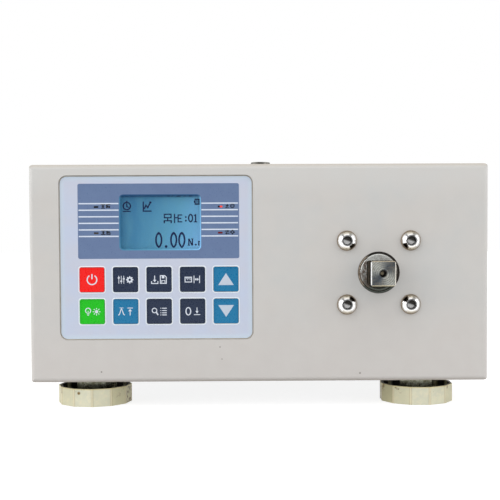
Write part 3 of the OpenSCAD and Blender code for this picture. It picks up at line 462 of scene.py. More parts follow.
def window_look():
    """Clear tinted window: mostly see-through, with a soft gloss."""
    k = Look("window", (24, 52, 84), rough=0.1, alpha=0.1)
    k.color(k.clouds(k.rgb, (36, 66, 96), 12, 2, 0.3, 0.7))
    k.mat.surface_render_method = "BLENDED"
    return k.done()


def led_look():
    """Four small windows: dark, brown, half red and dark red."""
    k = Look("led", (20, 18, 20), rough=0.3)
    x, _, z = k.axes((PAD_X, 0, PAD_Z))
    right = k.math("GREATER_THAN", x, sum(LEDS_X) / 2)
    upper = k.math("GREATER_THAN", z, sum(LEDS_Z) / 2)
    lit = k.math("GREATER_THAN", x, LEDS_X[1] - 0.1)
    left = k.mix(upper, (70, 62, 58), (16, 15, 18))
    top = k.mix(lit, (26, 18, 22), (250, 58, 36))
    k.color(k.mix(right, left, k.mix(upper, (122, 14, 24), top)))
    k.set("Emission Color", (255, 60, 36))
    k.set("Emission Strength", k.times(right, upper, lit, 0.5))
    return k.done(0.05)


# Materials of the torque unit

CENTRE_R = 1.85  # centre hole in the end of the drive, in painted shade
# painted highlight at the bottom of the centre hole
CENTRE_HIGHLIGHT_R = 0.85
SPINDLE_RIM_R = 9.7  # start of the painted shade on the rim of the spindle's face
SIDE_SHADE_FROM = 0.6  # how far behind its end the square's sides take painted shade
INSIDE = 9.0  # how far behind the front face the unit still shows


def drive_end(k, x, z, r, rings):
    """Turned end of the square: painted reflections in light and dark sectors, painted shade in the centre
    hole with a painted highlight at its bottom, and painted highlights on each chamfer.
    """
    # light and dark sectors: painted reflections of the turned end
    cross = k.ratio(k.times(x, z), k.most(k.times(r, r), 0.01))
    tone = k.coats(
        k.mix(k.minus(0.5, cross), (72, 82, 92), (206, 208, 200)),
        (k.span(rings, -1, 1, 0, 0.55), (84, 86, 88)),
        (k.patches(1.6, 4, 0.45, 0.7, 0, 0.4), (150, 140, 124)),
        (k.within(r, CENTRE_R, 0.12), (46, 38, 30)),
        (k.within(r, CENTRE_HIGHLIGHT_R, 0.15), (190, 176, 146)))
    # painted highlights on the four chamfer edges
    chamfer_highlights = ((z, 1, 0.35, (176, 162, 138)), (z, -1, 0.35, (214, 202, 168)),
                (x, 1, 0.35, (236, 230, 218)), (x, -1, 0.5, (236, 236, 234)))
    for axis, way, inset, rgb in chamfer_highlights:
        tone = k.mix(k.beyond(k.times(axis, way), DRIVE_HALF - inset), tone, rgb)
    return tone


def drive_sides(k, y):
    """Sides of the square in painted shade, darkest behind its end and at its root."""
    dark = k.most(k.span(y, DRIVE_END + 4.5, DRIVE_END + 6.5, 1, 0), k.span(y, -5.5, -4))
    return k.coats(
        k.clouds((26, 20, 15), (74, 62, 50), 0.7, 3, 0.4, 0.65, stretch=(1, 8, 1)),
        (k.patches(2.4, 3, 0.45, 0.7, 0, 0.5), (20, 16, 12)),
        (k.span(y, DRIVE_END + 4, -3, 0, 0.85), (72, 68, 58)), (k.times(dark, 0.92), (9, 6, 3)))


def spindle_face(k, x, z, r, fine):
    """Machined face round the square: painted light above and to the left, stained, with a painted shadow and
    arcs below the square and painted shade on its rim.
    """
    painted_light_slope = k.ratio(k.minus(z, k.times(x, 0.35)), k.most(r, 0.1))
    stain = k.times(k.patches(1.7, 4, 0.44, 0.58, 0, 0.9, rough=0.65), k.span(x, -3, -7, 0.3, 1))
    # painted shadow below the square, with arcs in it
    below = k.span(k.plus(z, k.times(x, -0.25)), -5.2, -7)
    arcs = k.mix(k.span(k.wave(r, 1.7), -0.2, 0.6), (34, 34, 28), (104, 112, 104))
    return k.coats(
        k.mix(k.ease(painted_light_slope, -0.7, 0.9), (84, 78, 70), (242, 244, 240)),
        (k.span(fine, -1, 1, 0, 0.35), (88, 84, 76)), (stain, (112, 92, 78)),
        (k.times(below, 0.85), arcs), (k.beyond(r, SPINDLE_RIM_R, 0.12), (30, 24, 19)))


def turned_look():
    """Alloy steel: turned end with painted reflections, sides of the square in painted shade, and machined
    face of the spindle with painted light and shade.
    """
    k = Look("alloy_steel", (150, 152, 156))
    x, y, z = k.axes((DRIVE.x, FRONT, DRIVE.z))
    r = k.radius(x, z)
    rings = k.wave(r, 0.95)
    fine = k.wave(k.plus(r, k.times(y, 0.7)), 0.3)
    k.bump(rings, 0.006)
    k.bump(fine, 0.0025)
    k.bump(k.noise(0.5, 3), 0.01)
    off_end = k.beyond(k.most(k.size(x), k.size(z)), DRIVE_HALF - 1)
    # sides of the square behind its end, which get painted shade
    painted_shade_sides = k.times(k.beyond(y, DRIVE_END + SIDE_SHADE_FROM), off_end)
    at_face = k.beyond(y, -0.8)
    hidden = k.clouds((158, 160, 164), (132, 132, 134), 6, 3, 0.35, 0.65)
    tone = k.mix(painted_shade_sides, drive_end(k, x, z, r, rings), drive_sides(k, y))
    tone = k.mix(at_face, tone, spindle_face(k, x, z, r, fine))
    k.color(k.mix(k.beyond(y, 1.5, 0.5), tone, hidden))
    painted_shade_sides = k.times(painted_shade_sides, k.minus(1, at_face))
    shown = k.times(k.within(y, INSIDE, 1), 0.55)
    k.set("Metallic", k.minus(1, k.most(painted_shade_sides, shown)))
    k.rough(k.most(k.patches(1.5, 3, 0.3, 0.7, 0.22, 0.36), k.times(painted_shade_sides, 0.85)))
    k.set("Specular IOR Level", k.minus(0.5, k.times(painted_shade_sides, 0.45)))
    return k.done(0.08)


SOCKET_R = 2.3  # hexagon socket of a screw head, to its corners, in painted shade
SOCKET_FLOOR_R = 1.92


def chrome_look():
    """Plated screw heads with painted reflections: bright at both sides, yellow-brown above, below and round
    the rim, dark towards the drive; painted shade in the socket, with a painted highlight on its floor.
    """
    k = Look("chrome", (222, 220, 216))
    x, _, z = k.axes(DRIVE)
    dx = k.nearest(x, SCREW_HALF)
    dz = k.nearest(z, SCREW_HALF)
    r = k.radius(dx, dz)
    some_r = k.most(r, 0.1)
    steep = k.ratio(k.size(dz), some_r)
    # painted reflections, yellow-brown above and below the middle
    warm = k.times(k.ease(steep, 0.6, 0.98, 0, 0.7), k.span(r, 2.9, 3.9))
    # painted shade on the side towards the drive
    inward = k.plus(k.times(dx, k.sign(x)), k.times(dz, k.sign(z)))
    inward = k.ratio(inward, k.times(some_r, -math.sqrt(2)))
    inward_shade = k.times(k.span(inward, 0.88, 0.95), k.span(r, 3.3, 3.7), k.span(r, 5, 4.7))
    # painted shade in the socket, with a painted highlight on the lower part of its floor
    hollow = k.within(r, SOCKET_FLOOR_R, 0.15)
    glint = k.times(hollow, k.span(k.plus(dz, k.times(dx, 0.35)), -0.5, 0.5, 1, 0))
    k.color(k.coats(
        (252, 252, 252), (warm, (164, 150, 118)), (k.ease(r, 4.4, 5.1, 0, 0.9), (150, 130, 102)),
        (inward_shade, (62, 50, 38)), (k.patches(1.3, 3, 0.58, 0.68, 0, 0.5), (112, 98, 80)),
        (k.within(r, SOCKET_R, 0.12), (32, 29, 27)), (hollow, (74, 72, 68)), (glint, (255, 255, 255))))
    k.set("Metallic", k.minus(1, k.times(hollow, 0.9)))
    k.rough(k.patches(0.8, 3, 0.4, 0.75, 0.08, 0.2))
    k.bump(k.noise(0.5, 2), 0.004)
    return k.done(0.1)


def housing_look():
    """Turned housing, with painted shade close to the spindle, where it shows behind the front face."""
    k = Look("housing_steel", (166, 168, 172))
    x, y, z = k.axes((DRIVE.x, FRONT, DRIVE.z))
    shade_near_spindle = k.times(k.within(k.radius(x, z), 12.5, 0.5), k.within(y, INSIDE, 1))
    clean = k.clouds(k.rgb, (140, 138, 134), 4, 4, 0.4, 0.7)
    k.color(k.mix(shade_near_spindle, clean, k.mottle(2, (22, 17, 13), (58, 48, 38))))
    k.set("Metallic", k.minus(1, shade_near_spindle))
    k.rough(k.most(0.34, k.times(shade_near_spindle, 0.7)))
    k.bump(k.noise(0.25, 2), 0.004)
    return k.done(0.15)


def seal_look():
    """Dark rubber with painted light: pale on the left and grey-green below, and painted shade at its outer
    edge.
    """
    k = Look("dust_seal", (30, 22, 16), rough=0.6)
    x, _, z = k.axes(DRIVE)
    painted_light_left = k.clouds((196, 180, 160), (142, 124, 104), 1.5, 3, 0.4, 0.6)
    k.color(k.coats(
        k.mottle(2, k.rgb, (48, 38, 30)), (k.ease(x, -4.5, -8), painted_light_left),
        (k.ease(z, -5.5, -7.5), (86, 94, 86)), (k.span(k.radius(x, z), 10.6, 10.75), (40, 32, 26))))
    k.bump(k.noise(0.4, 2), 0.01)
    return k.done()


# Materials of the rear, the feet and the level

PORT_MOUTH_W = 15.4
PORT_MOUTH_H = 6.8
PIN_PITCH = 2.77
PIN_ROWS = 2.84
PIN_R = 0.62


def port_look():
    """Data port: plated shell, black insulator in its mouth, gilt pins in rows of five and four."""
    k = Look("port_steel", (190, 191, 194))
    x, y, z = k.axes((PORT.x, 0, PORT.z))
    inside = k.times(k.math("LESS_THAN", k.size(x), PORT_MOUTH_W / 2),
                     k.math("LESS_THAN", k.size(z), PORT_MOUTH_H / 2),
                     k.math("GREATER_THAN", y, CASE_HIGH.y))
    rows = []
    for shift, row in ((0.5, PIN_ROWS / 2), (0, -PIN_ROWS / 2)):
        along = k.math("FRACT", k.math("MULTIPLY_ADD", x, -1 / PIN_PITCH, shift + 10))
        along = k.times(k.minus(along, 0.5), PIN_PITCH)
        pin = k.within(k.radius(along, k.minus(z, row)), PIN_R)
        rows.append(k.times(pin, k.math("LESS_THAN", k.size(x), (2.0 + shift) * PIN_PITCH)))
    pins = k.most(*rows)
    shell = k.clouds(k.rgb, (166, 164, 160), 3, 3, 0.4, 0.7)
    k.color(k.mix(inside, shell, k.mix(pins, (26, 26, 28), (214, 178, 92))))
    k.set("Metallic", k.most(k.minus(1, inside), pins))
    k.rough(k.patches(0.8, 3, 0.3, 0.7, 0.24, 0.38))
    k.bump(k.noise(0.4, 2), 0.004)
    return k.done(0.1)


CUP_SIDES = 12
CUP_TURNS = (26.3, 17.3)  # rest positions of the left and the right cups, in degrees
PALE_SIDE = 21.3  # sides near this number, and near six more, are palest in the painted light and shade
CUP_TOP = 9.4
CUP_RIM_R = 19.0  # start of the rim that stays cream on top, outside the painted shade under the case
CUP_INNER_R = 18.0
DROP = (-6, -18.5, 7.2)  # brown drop on the left cups, from the middle of their underside


def cup_look():
    """Cream feet: sides in painted light and shade, pale corners with painted shade beside them, yellowed
    rim, brown stains, painted shade inside and on top under the case.
    """
    k = Look("foot_cream", (230, 228, 202), metal=0.22)
    x, y, z = k.feet_axes()
    r = k.radius(x, y)
    rightward = k.axes((FEET_MID.x, 0, 0))[0]
    # number of the side, with its corners at whole numbers
    turn = k.times(k.span(k.sign(rightward), -1, 1, *CUP_TURNS), CUP_SIDES / 360)
    around = k.math("MULTIPLY_ADD", k.math("ARCTAN2", y, x), CUP_SIDES / (2 * math.pi), turn)
    around = k.plus(around, 2.0 * CUP_SIDES)
    from_corner = k.minus(0.5, k.size(k.minus(k.math("FRACT", around), 0.5)))
    wave = k.math("MULTIPLY_ADD", k.math("FLOOR", around), math.pi / 3, -PALE_SIDE * math.pi / 3)
    # painted light and shade of the sides, one tone per side
    shade = k.span(k.math("COSINE", wave), 1, -1)
    spots = k.times(k.patches(1.3, 3, 0.54, 0.62), k.span(shade, 0.88, 0.96))
    # painted shade on top of the cup under the case
    top = k.times(k.beyond(z, CUP_TOP, 0.06), k.within(r, CUP_RIM_R, 0.2), 0.95)
    stain = k.times(k.patches(5.5, 4, 0.6, 0.66, rough=0.65), k.span(z, 3, 9))
    distance = k.radius(*[k.minus(a, b) for a, b in zip((x, y, z), DROP)])
    drop = k.times(k.math("LESS_THAN", rightward, 0), k.span(distance, 0.5, 1.1, 1, 0))
    # painted shade inside the cup
    inside = k.times(k.within(r, CUP_INNER_R, 0.15), k.beyond(z, 2, 0.1))
    k.color(k.coats(
        k.rgb, (k.patches(5, 4, 0.35, 0.68), (218, 218, 196)),
        (k.patches(2, 3, 0.5, 0.75, 0, 0.6), (244, 236, 206)),
        (k.times(shade, 0.9), (200, 192, 144)),
        # pale line on each corner, with painted shade beside it
        (k.span(from_corner, 0.03, 0.09, 0.5, 0), (182, 160, 104)),
        (k.span(from_corner, 0.005, 0.03, 0.8, 0), (255, 250, 224)), (spots, (104, 78, 34)),
        (k.span(z, 8.8, 9.3, 0, 0.8), (220, 208, 152)),
        (top, k.mottle(2, (56, 42, 20), (96, 80, 44))), (k.most(stain, drop), (128, 100, 40)),
        (inside, k.mottle(2.5, (14, 10, 6), (52, 42, 28)))))
    k.rough(k.patches(1.5, 3, 0.3, 0.7, 0.34, 0.46))
    k.bump(k.noise(3, 2), 0.02)
    return k.done(0.15)


THREAD_PITCH = 1.5
THREAD_R = 5.2  # the hexagon lies outside it
THREAD_FROM = 16.0  # height at which the thread starts


def stud_look():
    """Zinc-plated studs with a greenish cast: dull hexagon and a cut thread above it."""
    k = Look("stud_zinc", (168, 170, 152), metal=1)
    x, y, z = k.feet_axes()
    turn = k.ratio(k.math("ARCTAN2", y, x), 2 * math.pi)
    climb = k.math("FRACT", k.minus(k.ratio(z, THREAD_PITCH), turn))
    ridge = k.minus(1, k.size(k.math("MULTIPLY_ADD", climb, 2, -1)))
    thread = k.times(k.within(k.radius(x, y), THREAD_R, 0.1), k.beyond(z, THREAD_FROM, 0.2))
    k.bump(k.times(ridge, thread), 0.55)
    k.bump(k.noise(0.8, 3), 0.012)
    k.color(k.coats(
        k.rgb, (k.patches(2.6, 4, 0.4, 0.66), (112, 110, 86)),
        (k.patches(1.2, 3, 0.6, 0.72, 0, 0.8), (84, 72, 44)),
        (k.times(thread, k.span(ridge, 0.35, 0, 0, 0.7)), (70, 66, 56))))
    k.rough(k.patches(1, 3, 0.3, 0.7, 0.24, 0.4))
    return k.done(0.12)


def vial_look():
    """Tinted fluid of the bubble level, clearer towards the middle."""
    k = Look("vial", (158, 220, 96), rough=0.08)
    x, y, _ = k.axes((LEVEL.x, LEVEL.y, 0))
    k.color(k.mix(k.span(k.radius(x, y), 0.5, 5.6), (196, 232, 120), (112, 176, 62)))
    return k.done(0.1)


def air_look():
    """The bubble: pale, with a touch of the fluid's green."""
    k = Look("air", (232, 244, 206), rough=0.06)
    k.color(k.clouds(k.rgb, (214, 234, 170), 1.5, 2, 0.3, 0.7))
    return k.done()


# Materials on the CAD nodes

PAINT = paint()
DARK_STEEL = metal("black_steel", (44, 44, 47), (60, 58, 56), 0.4)
ZINC = metal("zinc", (184, 184, 180), (160, 158, 148))
BEARING_STEEL = metal("bearing_steel", (206, 208, 210), (192, 192, 192), 0.12)
CUP = cup_look()
STUD = stud_look()
LOOKS = {
    "case_shell": PAINT,
    "rear_panel": PAINT,
    "base_plate": metal("plate_steel", (150, 152, 155), (128, 126, 122), 0.38, (12, 1, 1)),
    "base_screws": DARK_STEEL,
    "rear_panel_screws": DARK_STEEL,
    "keypad_overlay": film_look(),
    "display_window": window_look(),
    "keypad_circuit": plastic("circuit_film", (76, 107, 92), (60, 90, 78)),
    "snap_domes": metal("dome_steel", (200, 200, 196), (180, 178, 170), 0.2),
    "keypad_carrier": metal("carrier_aluminium", (188, 190, 192), (172, 173, 174), 0.36, (10, 1, 1)),
    "keypad_ribbon": plastic("ribbon", (214, 138, 50), (196, 120, 44), 0.3),
    "status_leds": led_look(),
    "lcd_bezel": metal("bezel_steel", (64, 66, 70), (50, 50, 54), 0.4),
    "lcd_glass": lcd_look("lcd_face", 0.4),
    "lcd_backlight": plastic("diffuser", (236, 238, 240), (224, 228, 232), 0.5),
    "main_board": plastic("board", (22, 92, 52), (16, 74, 42), 0.35, blob=3.0),
    "board_chips": plastic("chips", (28, 28, 30), (40, 40, 42), 0.4, edge=0.1),
    "board_spacers": metal("brass", (196, 164, 92), (176, 140, 74), 0.25),
    "board_screws": ZINC,
    "torque_sensor": turned_look(),
    "bearing_housing": housing_look(),
    "housing_screws": chrome_look(),
    "bearing_outer_ring": BEARING_STEEL,
    "bearing_inner_ring": BEARING_STEEL,
    "bearing_balls": BEARING_STEEL,
    "bearing_circlip": metal("spring_steel", (52, 52, 54), (40, 38, 38), 0.35),
    "sensor_bracket": metal("bracket_steel", (152, 154, 158), (130, 128, 124), 0.4, (1, 1, 10)),
    "sensor_screws": DARK_STEEL,
    "bracket_screws": DARK_STEEL,
    "strain_gauges": plastic("gauge", (220, 158, 60), (204, 140, 48), 0.35),
    "sensor_cable": plastic("lead", (190, 190, 186), (176, 176, 172), 0.5),
    "battery_pack": plastic("sleeve", (36, 76, 158), (28, 60, 130), 0.25),
    "battery_strap": ZINC,
    "battery_screws": ZINC,
    "charge_jack": plastic("black_plastic", (32, 32, 34), (44, 44, 46), 0.4, edge=0.2),
    "data_port": port_look(),
    "port_jackscrews": ZINC,
    "level_body": metal("level_metal", (132, 130, 124), (110, 108, 102), 0.45),
    "level_vial": vial_look(),
}
KEY_TONES = (("red", (255, 8, 0), (250, 12, 2)), ("navy", (36, 50, 76), (32, 46, 72)),
             ("green", (8, 200, 6), (14, 193, 10)), ("blue", (12, 122, 170), (16, 117, 165)))
KEY_LOOKS = {tint: plastic("key_" + tint, *tones, 0.3, depth=0.003) for tint, *tones in KEY_TONES}
KEYS = {"power": "red", "set": "navy", "save": "navy", "unit": "navy", "up": "blue",
        "light": "green", "peak": "blue", "view": "navy", "zero": "navy", "down": "blue"}
INK_TONES = (
    ("band", (106, 128, 166), (102, 123, 162), 0.32),
    ("line", (222, 231, 244), (214, 225, 242), 0.32),
    # painted highlight of the embossed rim round each key
    ("outline", (240, 246, 252), (234, 242, 250), 0.32),
    ("black", (8, 8, 12), (14, 14, 18), 0.45),
    ("white", (226, 232, 242), (218, 226, 238), 0.32),
    ("arrow", (200, 211, 226), (194, 206, 222), 0.32),
)
INK = {name: plastic("ink_" + name, *tones, depth=0.002) for name, *tones in INK_TONES}
LIP_LOOK = plastic("film_lip", (186, 180, 168), (168, 160, 148), 0.5, depth=0.002)
FIGURE_LOOK = plastic("ink_figure", (0, 14, 74), (2, 20, 84), 0.5, depth=0.001)


def dress():
    """Puts each look on its CAD node."""
    for key, tint in KEYS.items():
        LOOKS["key_" + key] = KEY_LOOKS[tint]
    for foot in ("fl", "fr", "rl", "rr"):
        LOOKS["foot_cup_" + foot] = CUP
        LOOKS["foot_stud_" + foot] = STUD
    for name, mat in LOOKS.items():
        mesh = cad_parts[name].data
        mesh.materials.clear()
        mesh.materials.append(mat)


dress()

# Flat shapes: a shape is a list of loops, the outer one first


def rounded(cx, cz, w, h, r, steps=6):
    """Loop of a rectangle with round corners."""
    out = []
    for sx, sz, start in ((1, 1, 0), (-1, 1, 90), (-1, -1, 180), (1, -1, 270)):
        out += arc(cx + sx * (w / 2 - r), cz + sz * (h / 2 - r), r, start, start + 90, steps)
    return out


def arc(cx, cz, r, start, end, steps=20):
    """Points of an arc from one angle to another, in degrees."""
    angles = [math.radians(start + (end - start) * i / steps) for i in range(steps + 1)]
    return [(cx + r * math.cos(a), cz + r * math.sin(a)) for a in angles]


def circle(cx, cz, r, steps=20):
    return arc(cx, cz, r, 0, 360, steps)[:-1]


def ring(cx, cz, r, w, steps=28):
    """A round line of width w."""
    return [circle(cx, cz, r + w / 2, steps), circle(cx, cz, r - w / 2, steps)]


def disc(cx, cz, r, steps=20):
    return [circle(cx, cz, r, steps)]


def bar(x0, z0, x1, z1):
    return [[(x0, z0), (x1, z0), (x1, z1), (x0, z1)]]


def oval(cx, cz, w, h, point=0.0, steps=20):
    """Points of an upright oval; point draws its ends out."""
    out = []
    for i in range(steps):
        a = 2 * math.pi * i / steps
        x = math.cos(a)
        x = math.copysign(abs(x) ** (1 + point), x)
        out.append((cx + w / 2 * x, cz + h / 2 * math.sin(a)))
    return out


MITRE_LEAST = 0.45  # keeps the mitre of a sharp corner short


def sides(points, d, closed):
    """The line through points moved sideways by d, with mitred corners."""
    out = []
    last = len(points) - 1
    for i, point in enumerate(points):
        steps = []
        if i > 0 or closed:
            steps.append(Vector(point) - Vector(points[i - 1]))
        if i < last or closed:
            steps.append(Vector(points[(i + 1) % (last + 1)]) - Vector(point))
        normals = [Vector((-step.y, step.x)).normalized() for step in steps]
        normal = (normals[0] + normals[-1]).normalized()
        spot = Vector(point) + normal * (d / max(normal.dot(normals[0]), MITRE_LEAST))
        out.append((spot.x, spot.y))
    return out


def stroke(points, w, closed=False):
    """A line of width w as a shape."""
    left = sides(points, w / 2, closed)
    right = sides(points, -w / 2, closed)
    if not closed:
        return [left + right[::-1]]
    area = sum(a[0] * b[1] - b[0] * a[1] for a, b in zip(points, points[1:] + points[:1]))
    return [right, left] if area > 0 else [left, right]


def moved(shape, dx, dz):
    return [[(x + dx, z + dz) for x, z in loop] for loop in shape]


# Meshes

LAYER = 0.0015  # step between shapes of one print, so that none lie in one plane
INK_T = 0.02  # thickness of a print


def make_piece(name, verts, faces, mat, body, smooth=None):
    """Mesh object that rides on a body; edges sharper than smooth degrees stay sharp."""
    mesh = bpy.data.meshes.new(name)
    mesh.from_pydata(verts, [], faces)
    bm = bmesh.new()
    bm.from_mesh(mesh)
    bmesh.ops.remove_doubles(bm, verts=bm.verts, dist=1e-7)
    bmesh.ops.recalc_face_normals(bm, faces=bm.faces)
    bm.to_mesh(mesh)
    bm.free()
    mesh.materials.append(mat)
    if smooth:
        mesh.shade_smooth()
        mesh.set_sharp_from_angle(angle=math.radians(smooth))
    obj = add(name, mesh)
    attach(obj, body)


def plates(name, shapes, face, mat, body="case", origin=(0, 0), thick=INK_T):
    """Flat solids in the X-Z plane; face is how far their front lies behind the case's front."""
    verts = []
    faces = []
    back_y = (FRONT + face + thick) * MM
    for number, shape in enumerate(shapes):
        front_y = (FRONT + face - number * LAYER) * MM
        loops = [[Vector(((x + origin[0]) * MM, (z + origin[1]) * MM, 0)) for x, z in loop] for loop in shape]
        flat = [v for loop in loops for v in loop]
        first = len(verts)
        count = len(flat)
        verts += [(v.x, front_y, v.y) for v in flat]
        verts += [(v.x, back_y, v.y) for v in flat]
        for a, b, c in tessellate_polygon(loops):
            faces.append((first + a, first + b, first + c))
            faces.append((first + count + a, first + count + c, first + count + b))
        for loop in loops:
            for i in range(len(loop)):
                a = first + i
                b = first + (i + 1) % len(loop)
                faces.append((a, b, b + count, a + count))
            first += len(loop)
    make_piece(name, verts, faces, mat, body)


def lathe(name, profile, centre, mat, body, steps=48, smooth=35):
    """Turned solid about a vertical axis from points of radius and height."""
    verts = []
    faces = []
    for i in range(steps):
        a = 2 * math.pi * i / steps
        for r, h in profile:
            spot = Vector((centre[0] + r * math.cos(a), centre[1] + r * math.sin(a), centre[2] + h))
            verts.append(spot * MM)
    rows = len(profile)
    for i in range(steps):
        j = (i + 1) % steps
        for row in range(rows - 1):
            quad = [i * rows + row, j * rows + row, j * rows + row + 1, i * rows + row + 1]
            if profile[row][0] == 0:
                del quad[1]
            elif profile[row + 1][0] == 0:
                del quad[3]
            faces.append(quad)
    make_piece(name, verts, faces, mat, body, smooth)


# Dust seal in the gap round the spindle

SEAL_R = 10.46
SEAL_W = 0.8
SEAL_DEEP = 0.35
SEAL_T = 0.5
plates("dust_seal", [ring(DRIVE.x, DRIVE.z, SEAL_R, SEAL_W, 72)], SEAL_DEEP, seal_look(),
       thick=SEAL_T)

# Print on the film, from the top left corner of the cut-out

BAND_LEFT = 9.8
BAND_TOP = 4.3
BAND_W = 84.15
BAND_H = 39.2
BAND_CORNER_R = 1.0
LED_W = 2.5  # openings of the print at the diodes
LED_H = 0.95
LEDS = [(x, z) for z in LEDS_Z for x in LEDS_X]
SIGN_RIGHT = 5.0  # from a diode to the middle of its sign
SIGN_UP = 0.3
WIN_X = (WIN_LOW.x + WIN_HIGH.x) / 2 - PAD_X
WIN_Z = (WIN_LOW.z + WIN_HIGH.z) / 2 - PAD_Z
WIN_EDGE_IN = 0.45  # painted light: ring in the display's colours with a dim glow, inwards and outwards of the window's edge
WIN_EDGE_OUT = 0.15
LINE_TOP = 14.35
LINE_PITCH = 3.42
LINE_T = 0.66
LINES = 6
LIP_DEEP = 0.15
LIP_T = 0.3


def window_loop(out, r):
    """Loop round the window, out millimetres outside its edge."""
    return rounded(WIN_X, WIN_Z, WIN_W + 2 * out, WIN_H + 2 * out, r)


def film_print():
    at = (PAD_X, PAD_Z)
    outside = window_loop(WIN_EDGE_OUT, 2.15)
    band = [rounded(BAND_LEFT + BAND_W / 2, -BAND_TOP - BAND_H / 2, BAND_W, BAND_H, BAND_CORNER_R), outside]
    band += [rounded(x, z, LED_W, LED_H, 0.08, 1) for x, z in LEDS]
    plates("print_band", [band], FILM_FACE - INK_T, INK["band"], origin=at)
    # painted light on the film: a ring with the display's colours and a dim glow over the window's edge
    edge = [outside, window_loop(-WIN_EDGE_IN, 1.6)]
    plates("painted_glow_window_edge", [edge], FILM_FACE - INK_T, lcd_look("window_edge", 0.16),
           origin=at)
    wider = 2 * OVERLAY_GAP - 0.06
    lip = [rounded(FILM_MID.x, FILM_MID.z, FILM_W + wider, FILM_H + wider, PAD_CORNER_R),
           rounded(FILM_MID.x, FILM_MID.z, FILM_W, FILM_H, PAD_CORNER_R - OVERLAY_GAP)]
    plates("film_lip", [lip], FILM_FACE + LIP_DEEP, LIP_LOOK, thick=LIP_T)
    rows = []
    for i in range(LINES):
        z = -LINE_TOP - i * LINE_PITCH
        rows.append(bar(BAND_LEFT + 0.45, z - LINE_T, WIN_X - WIN_W / 2 - 0.4, z))
        rows.append(bar(WIN_X + WIN_W / 2 + 0.4, z - LINE_T, BAND_LEFT + BAND_W - 0.55, z))
    plates("print_lines", rows, FILM_FACE - 2 * INK_T, INK["line"], origin=at)
    signs = []
    for (x, z), mark in zip(LEDS, (limit_mark(1), power_mark(), limit_mark(-1), data_mark())):
        signs += [moved(shape, x + SIGN_RIGHT, z + SIGN_UP) for shape in mark]
    plates("print_signs", signs, FILM_FACE - 2 * INK_T, INK["black"], origin=at)


def limit_mark(way):
    """Bar with an arrow to it, and a trace under or over a limit line."""
    z = way * 0.9
    low = min(-z, z)
    high = -low
    return [bar(-2.5, z - 0.22, -0.15, z + 0.22), [[(-1.33, z * 0.7), (-2.2, -z * 0.2), (-0.45, -z * 0.2)]],
            bar(-1.6, low, -1.05, high), bar(-2.3, -z - 0.2, -0.35, -z + 0.2),
            bar(0.25, z - 0.22, 2.5, z + 0.22), bar(0.3, low, 0.75, high),
            stroke([(0.75, -z), (1.15, z * 0.3), (1.6, -z * 0.6), (2.3, z * 0.2)], 0.5),
            bar(1.9, low, 2.35, 0)]


def power_mark():
    """Flash and a round plug."""
    flash = [[(-0.9, 1.15), (-2.3, -0.2), (-1.5, -0.2), (-1.95, -1.15), (-0.4, 0.35), (-1.15, 0.35)]]
    return [flash, ring(1.4, 0, 0.95, 0.42), bar(0.95, -0.35, 1.22, 0.35), bar(1.58, -0.35, 1.85, 0.35),
            bar(-2.4, -1.15, -0.4, -0.8)]


def data_mark():
    """Two arrows that pass each other, and a net of four points."""
    net = [(0.6, 0), (1.4, 0.8), (2.2, -0.1), (1.4, -0.85)]
    return [bar(-2.5, 0.3, -1, 0.75), [[(-1.2, 1.15), (-1.2, -0.05), (-0.2, 0.52)]],
            bar(-1.7, -0.8, -0.2, -0.35), [[(-1.5, 0.05), (-1.5, -1.2), (-2.5, -0.58)]],
            *[disc(x, z, 0.42, 12) for x, z in net], stroke(net, 0.34, True)]


film_print()

# Legends of the keys, from the middle of each key

PEN = 0.46
THICK_PEN = 0.62
THIN_PEN = 0.34


def gear(cx, cz, r, teeth=8):
    out = []
    for i in range(teeth):
        for share, reach in ((-0.3, r), (-0.2, r * 1.32), (0.2, r * 1.32), (0.3, r)):
            a = 2 * math.pi * (i + share) / teeth
            out.append((cx + reach * math.cos(a), cz + reach * math.sin(a)))
    return [out, circle(cx, cz, r * 0.45, 14)]


def sliders_and_gear():
    out = []
    for x, knob in ((-3.5, 0.9), (-2.2, -0.8), (-0.9, 0.4)):
        out += [bar(x - 0.16, -2.1, x + 0.16, 2), bar(x - 0.5, knob - 0.35, x + 0.5, knob + 0.35)]
    return out + [gear(2.2, -0.1, 1.45)]


def tray_and_disk():
    """Arrow into a tray, and a disk."""
    return [bar(-2.5, -0.4, -2.04, 2), [[(-3.2, -0.2), (-1.34, -0.2), (-2.27, -1.35)]],
            stroke([(-3.9, -0.9), (-3.9, -2.1), (-0.6, -2.1), (-0.6, -0.9)], PEN),
            stroke([(0.7, -2.05), (3.8, -2.05), (3.8, 1.2), (3, 2), (0.7, 2)], PEN, True),
            bar(1.5, 0.6, 2.8, 1.9), stroke([(1.4, -2), (1.4, -0.6), (3.1, -0.6), (3.1, -2)], 0.36)]


def rule_and_limits():
    """Rule, and arrows between two limits."""
    out = [stroke([(-3.9, -1.4), (-0.5, -1.4), (-0.5, 1.1), (-3.9, 1.1)], PEN, True)]
    for x, length in ((-3.2, 0.9), (-2.55, 1.4), (-1.9, 0.9), (-1.25, 1.4)):
        out.append(bar(x - 0.15, 1.0 - length, x + 0.15, 1))
    return out + [bar(0.6, -2, 1, 1.9), bar(3.5, -2, 3.9, 1.9), bar(1.7, -0.2, 2.8, 0.14),
                  [[(1.1, -0.03), (2, -0.8), (2, 0.74)]], [[(3.4, -0.03), (2.5, 0.74), (2.5, -0.8)]]]


def lamp_and_sun():
    out = [stroke(arc(-2.2, 0.5, 1.35, -60, 240, 18), PEN), bar(-2.85, -1.35, -1.55, -0.95),
           bar(-2.7, -2, -1.7, -1.62), stroke([(-2.2, -0.9), (-2.2, 0.4)], THIN_PEN),
           disc(2.2, -0.05, 0.85)]
    for near, far in zip(circle(2.2, -0.05, 1.2, 8), circle(2.2, -0.05, 2, 8)):
        out.append(stroke([near, far], 0.4))
    return out


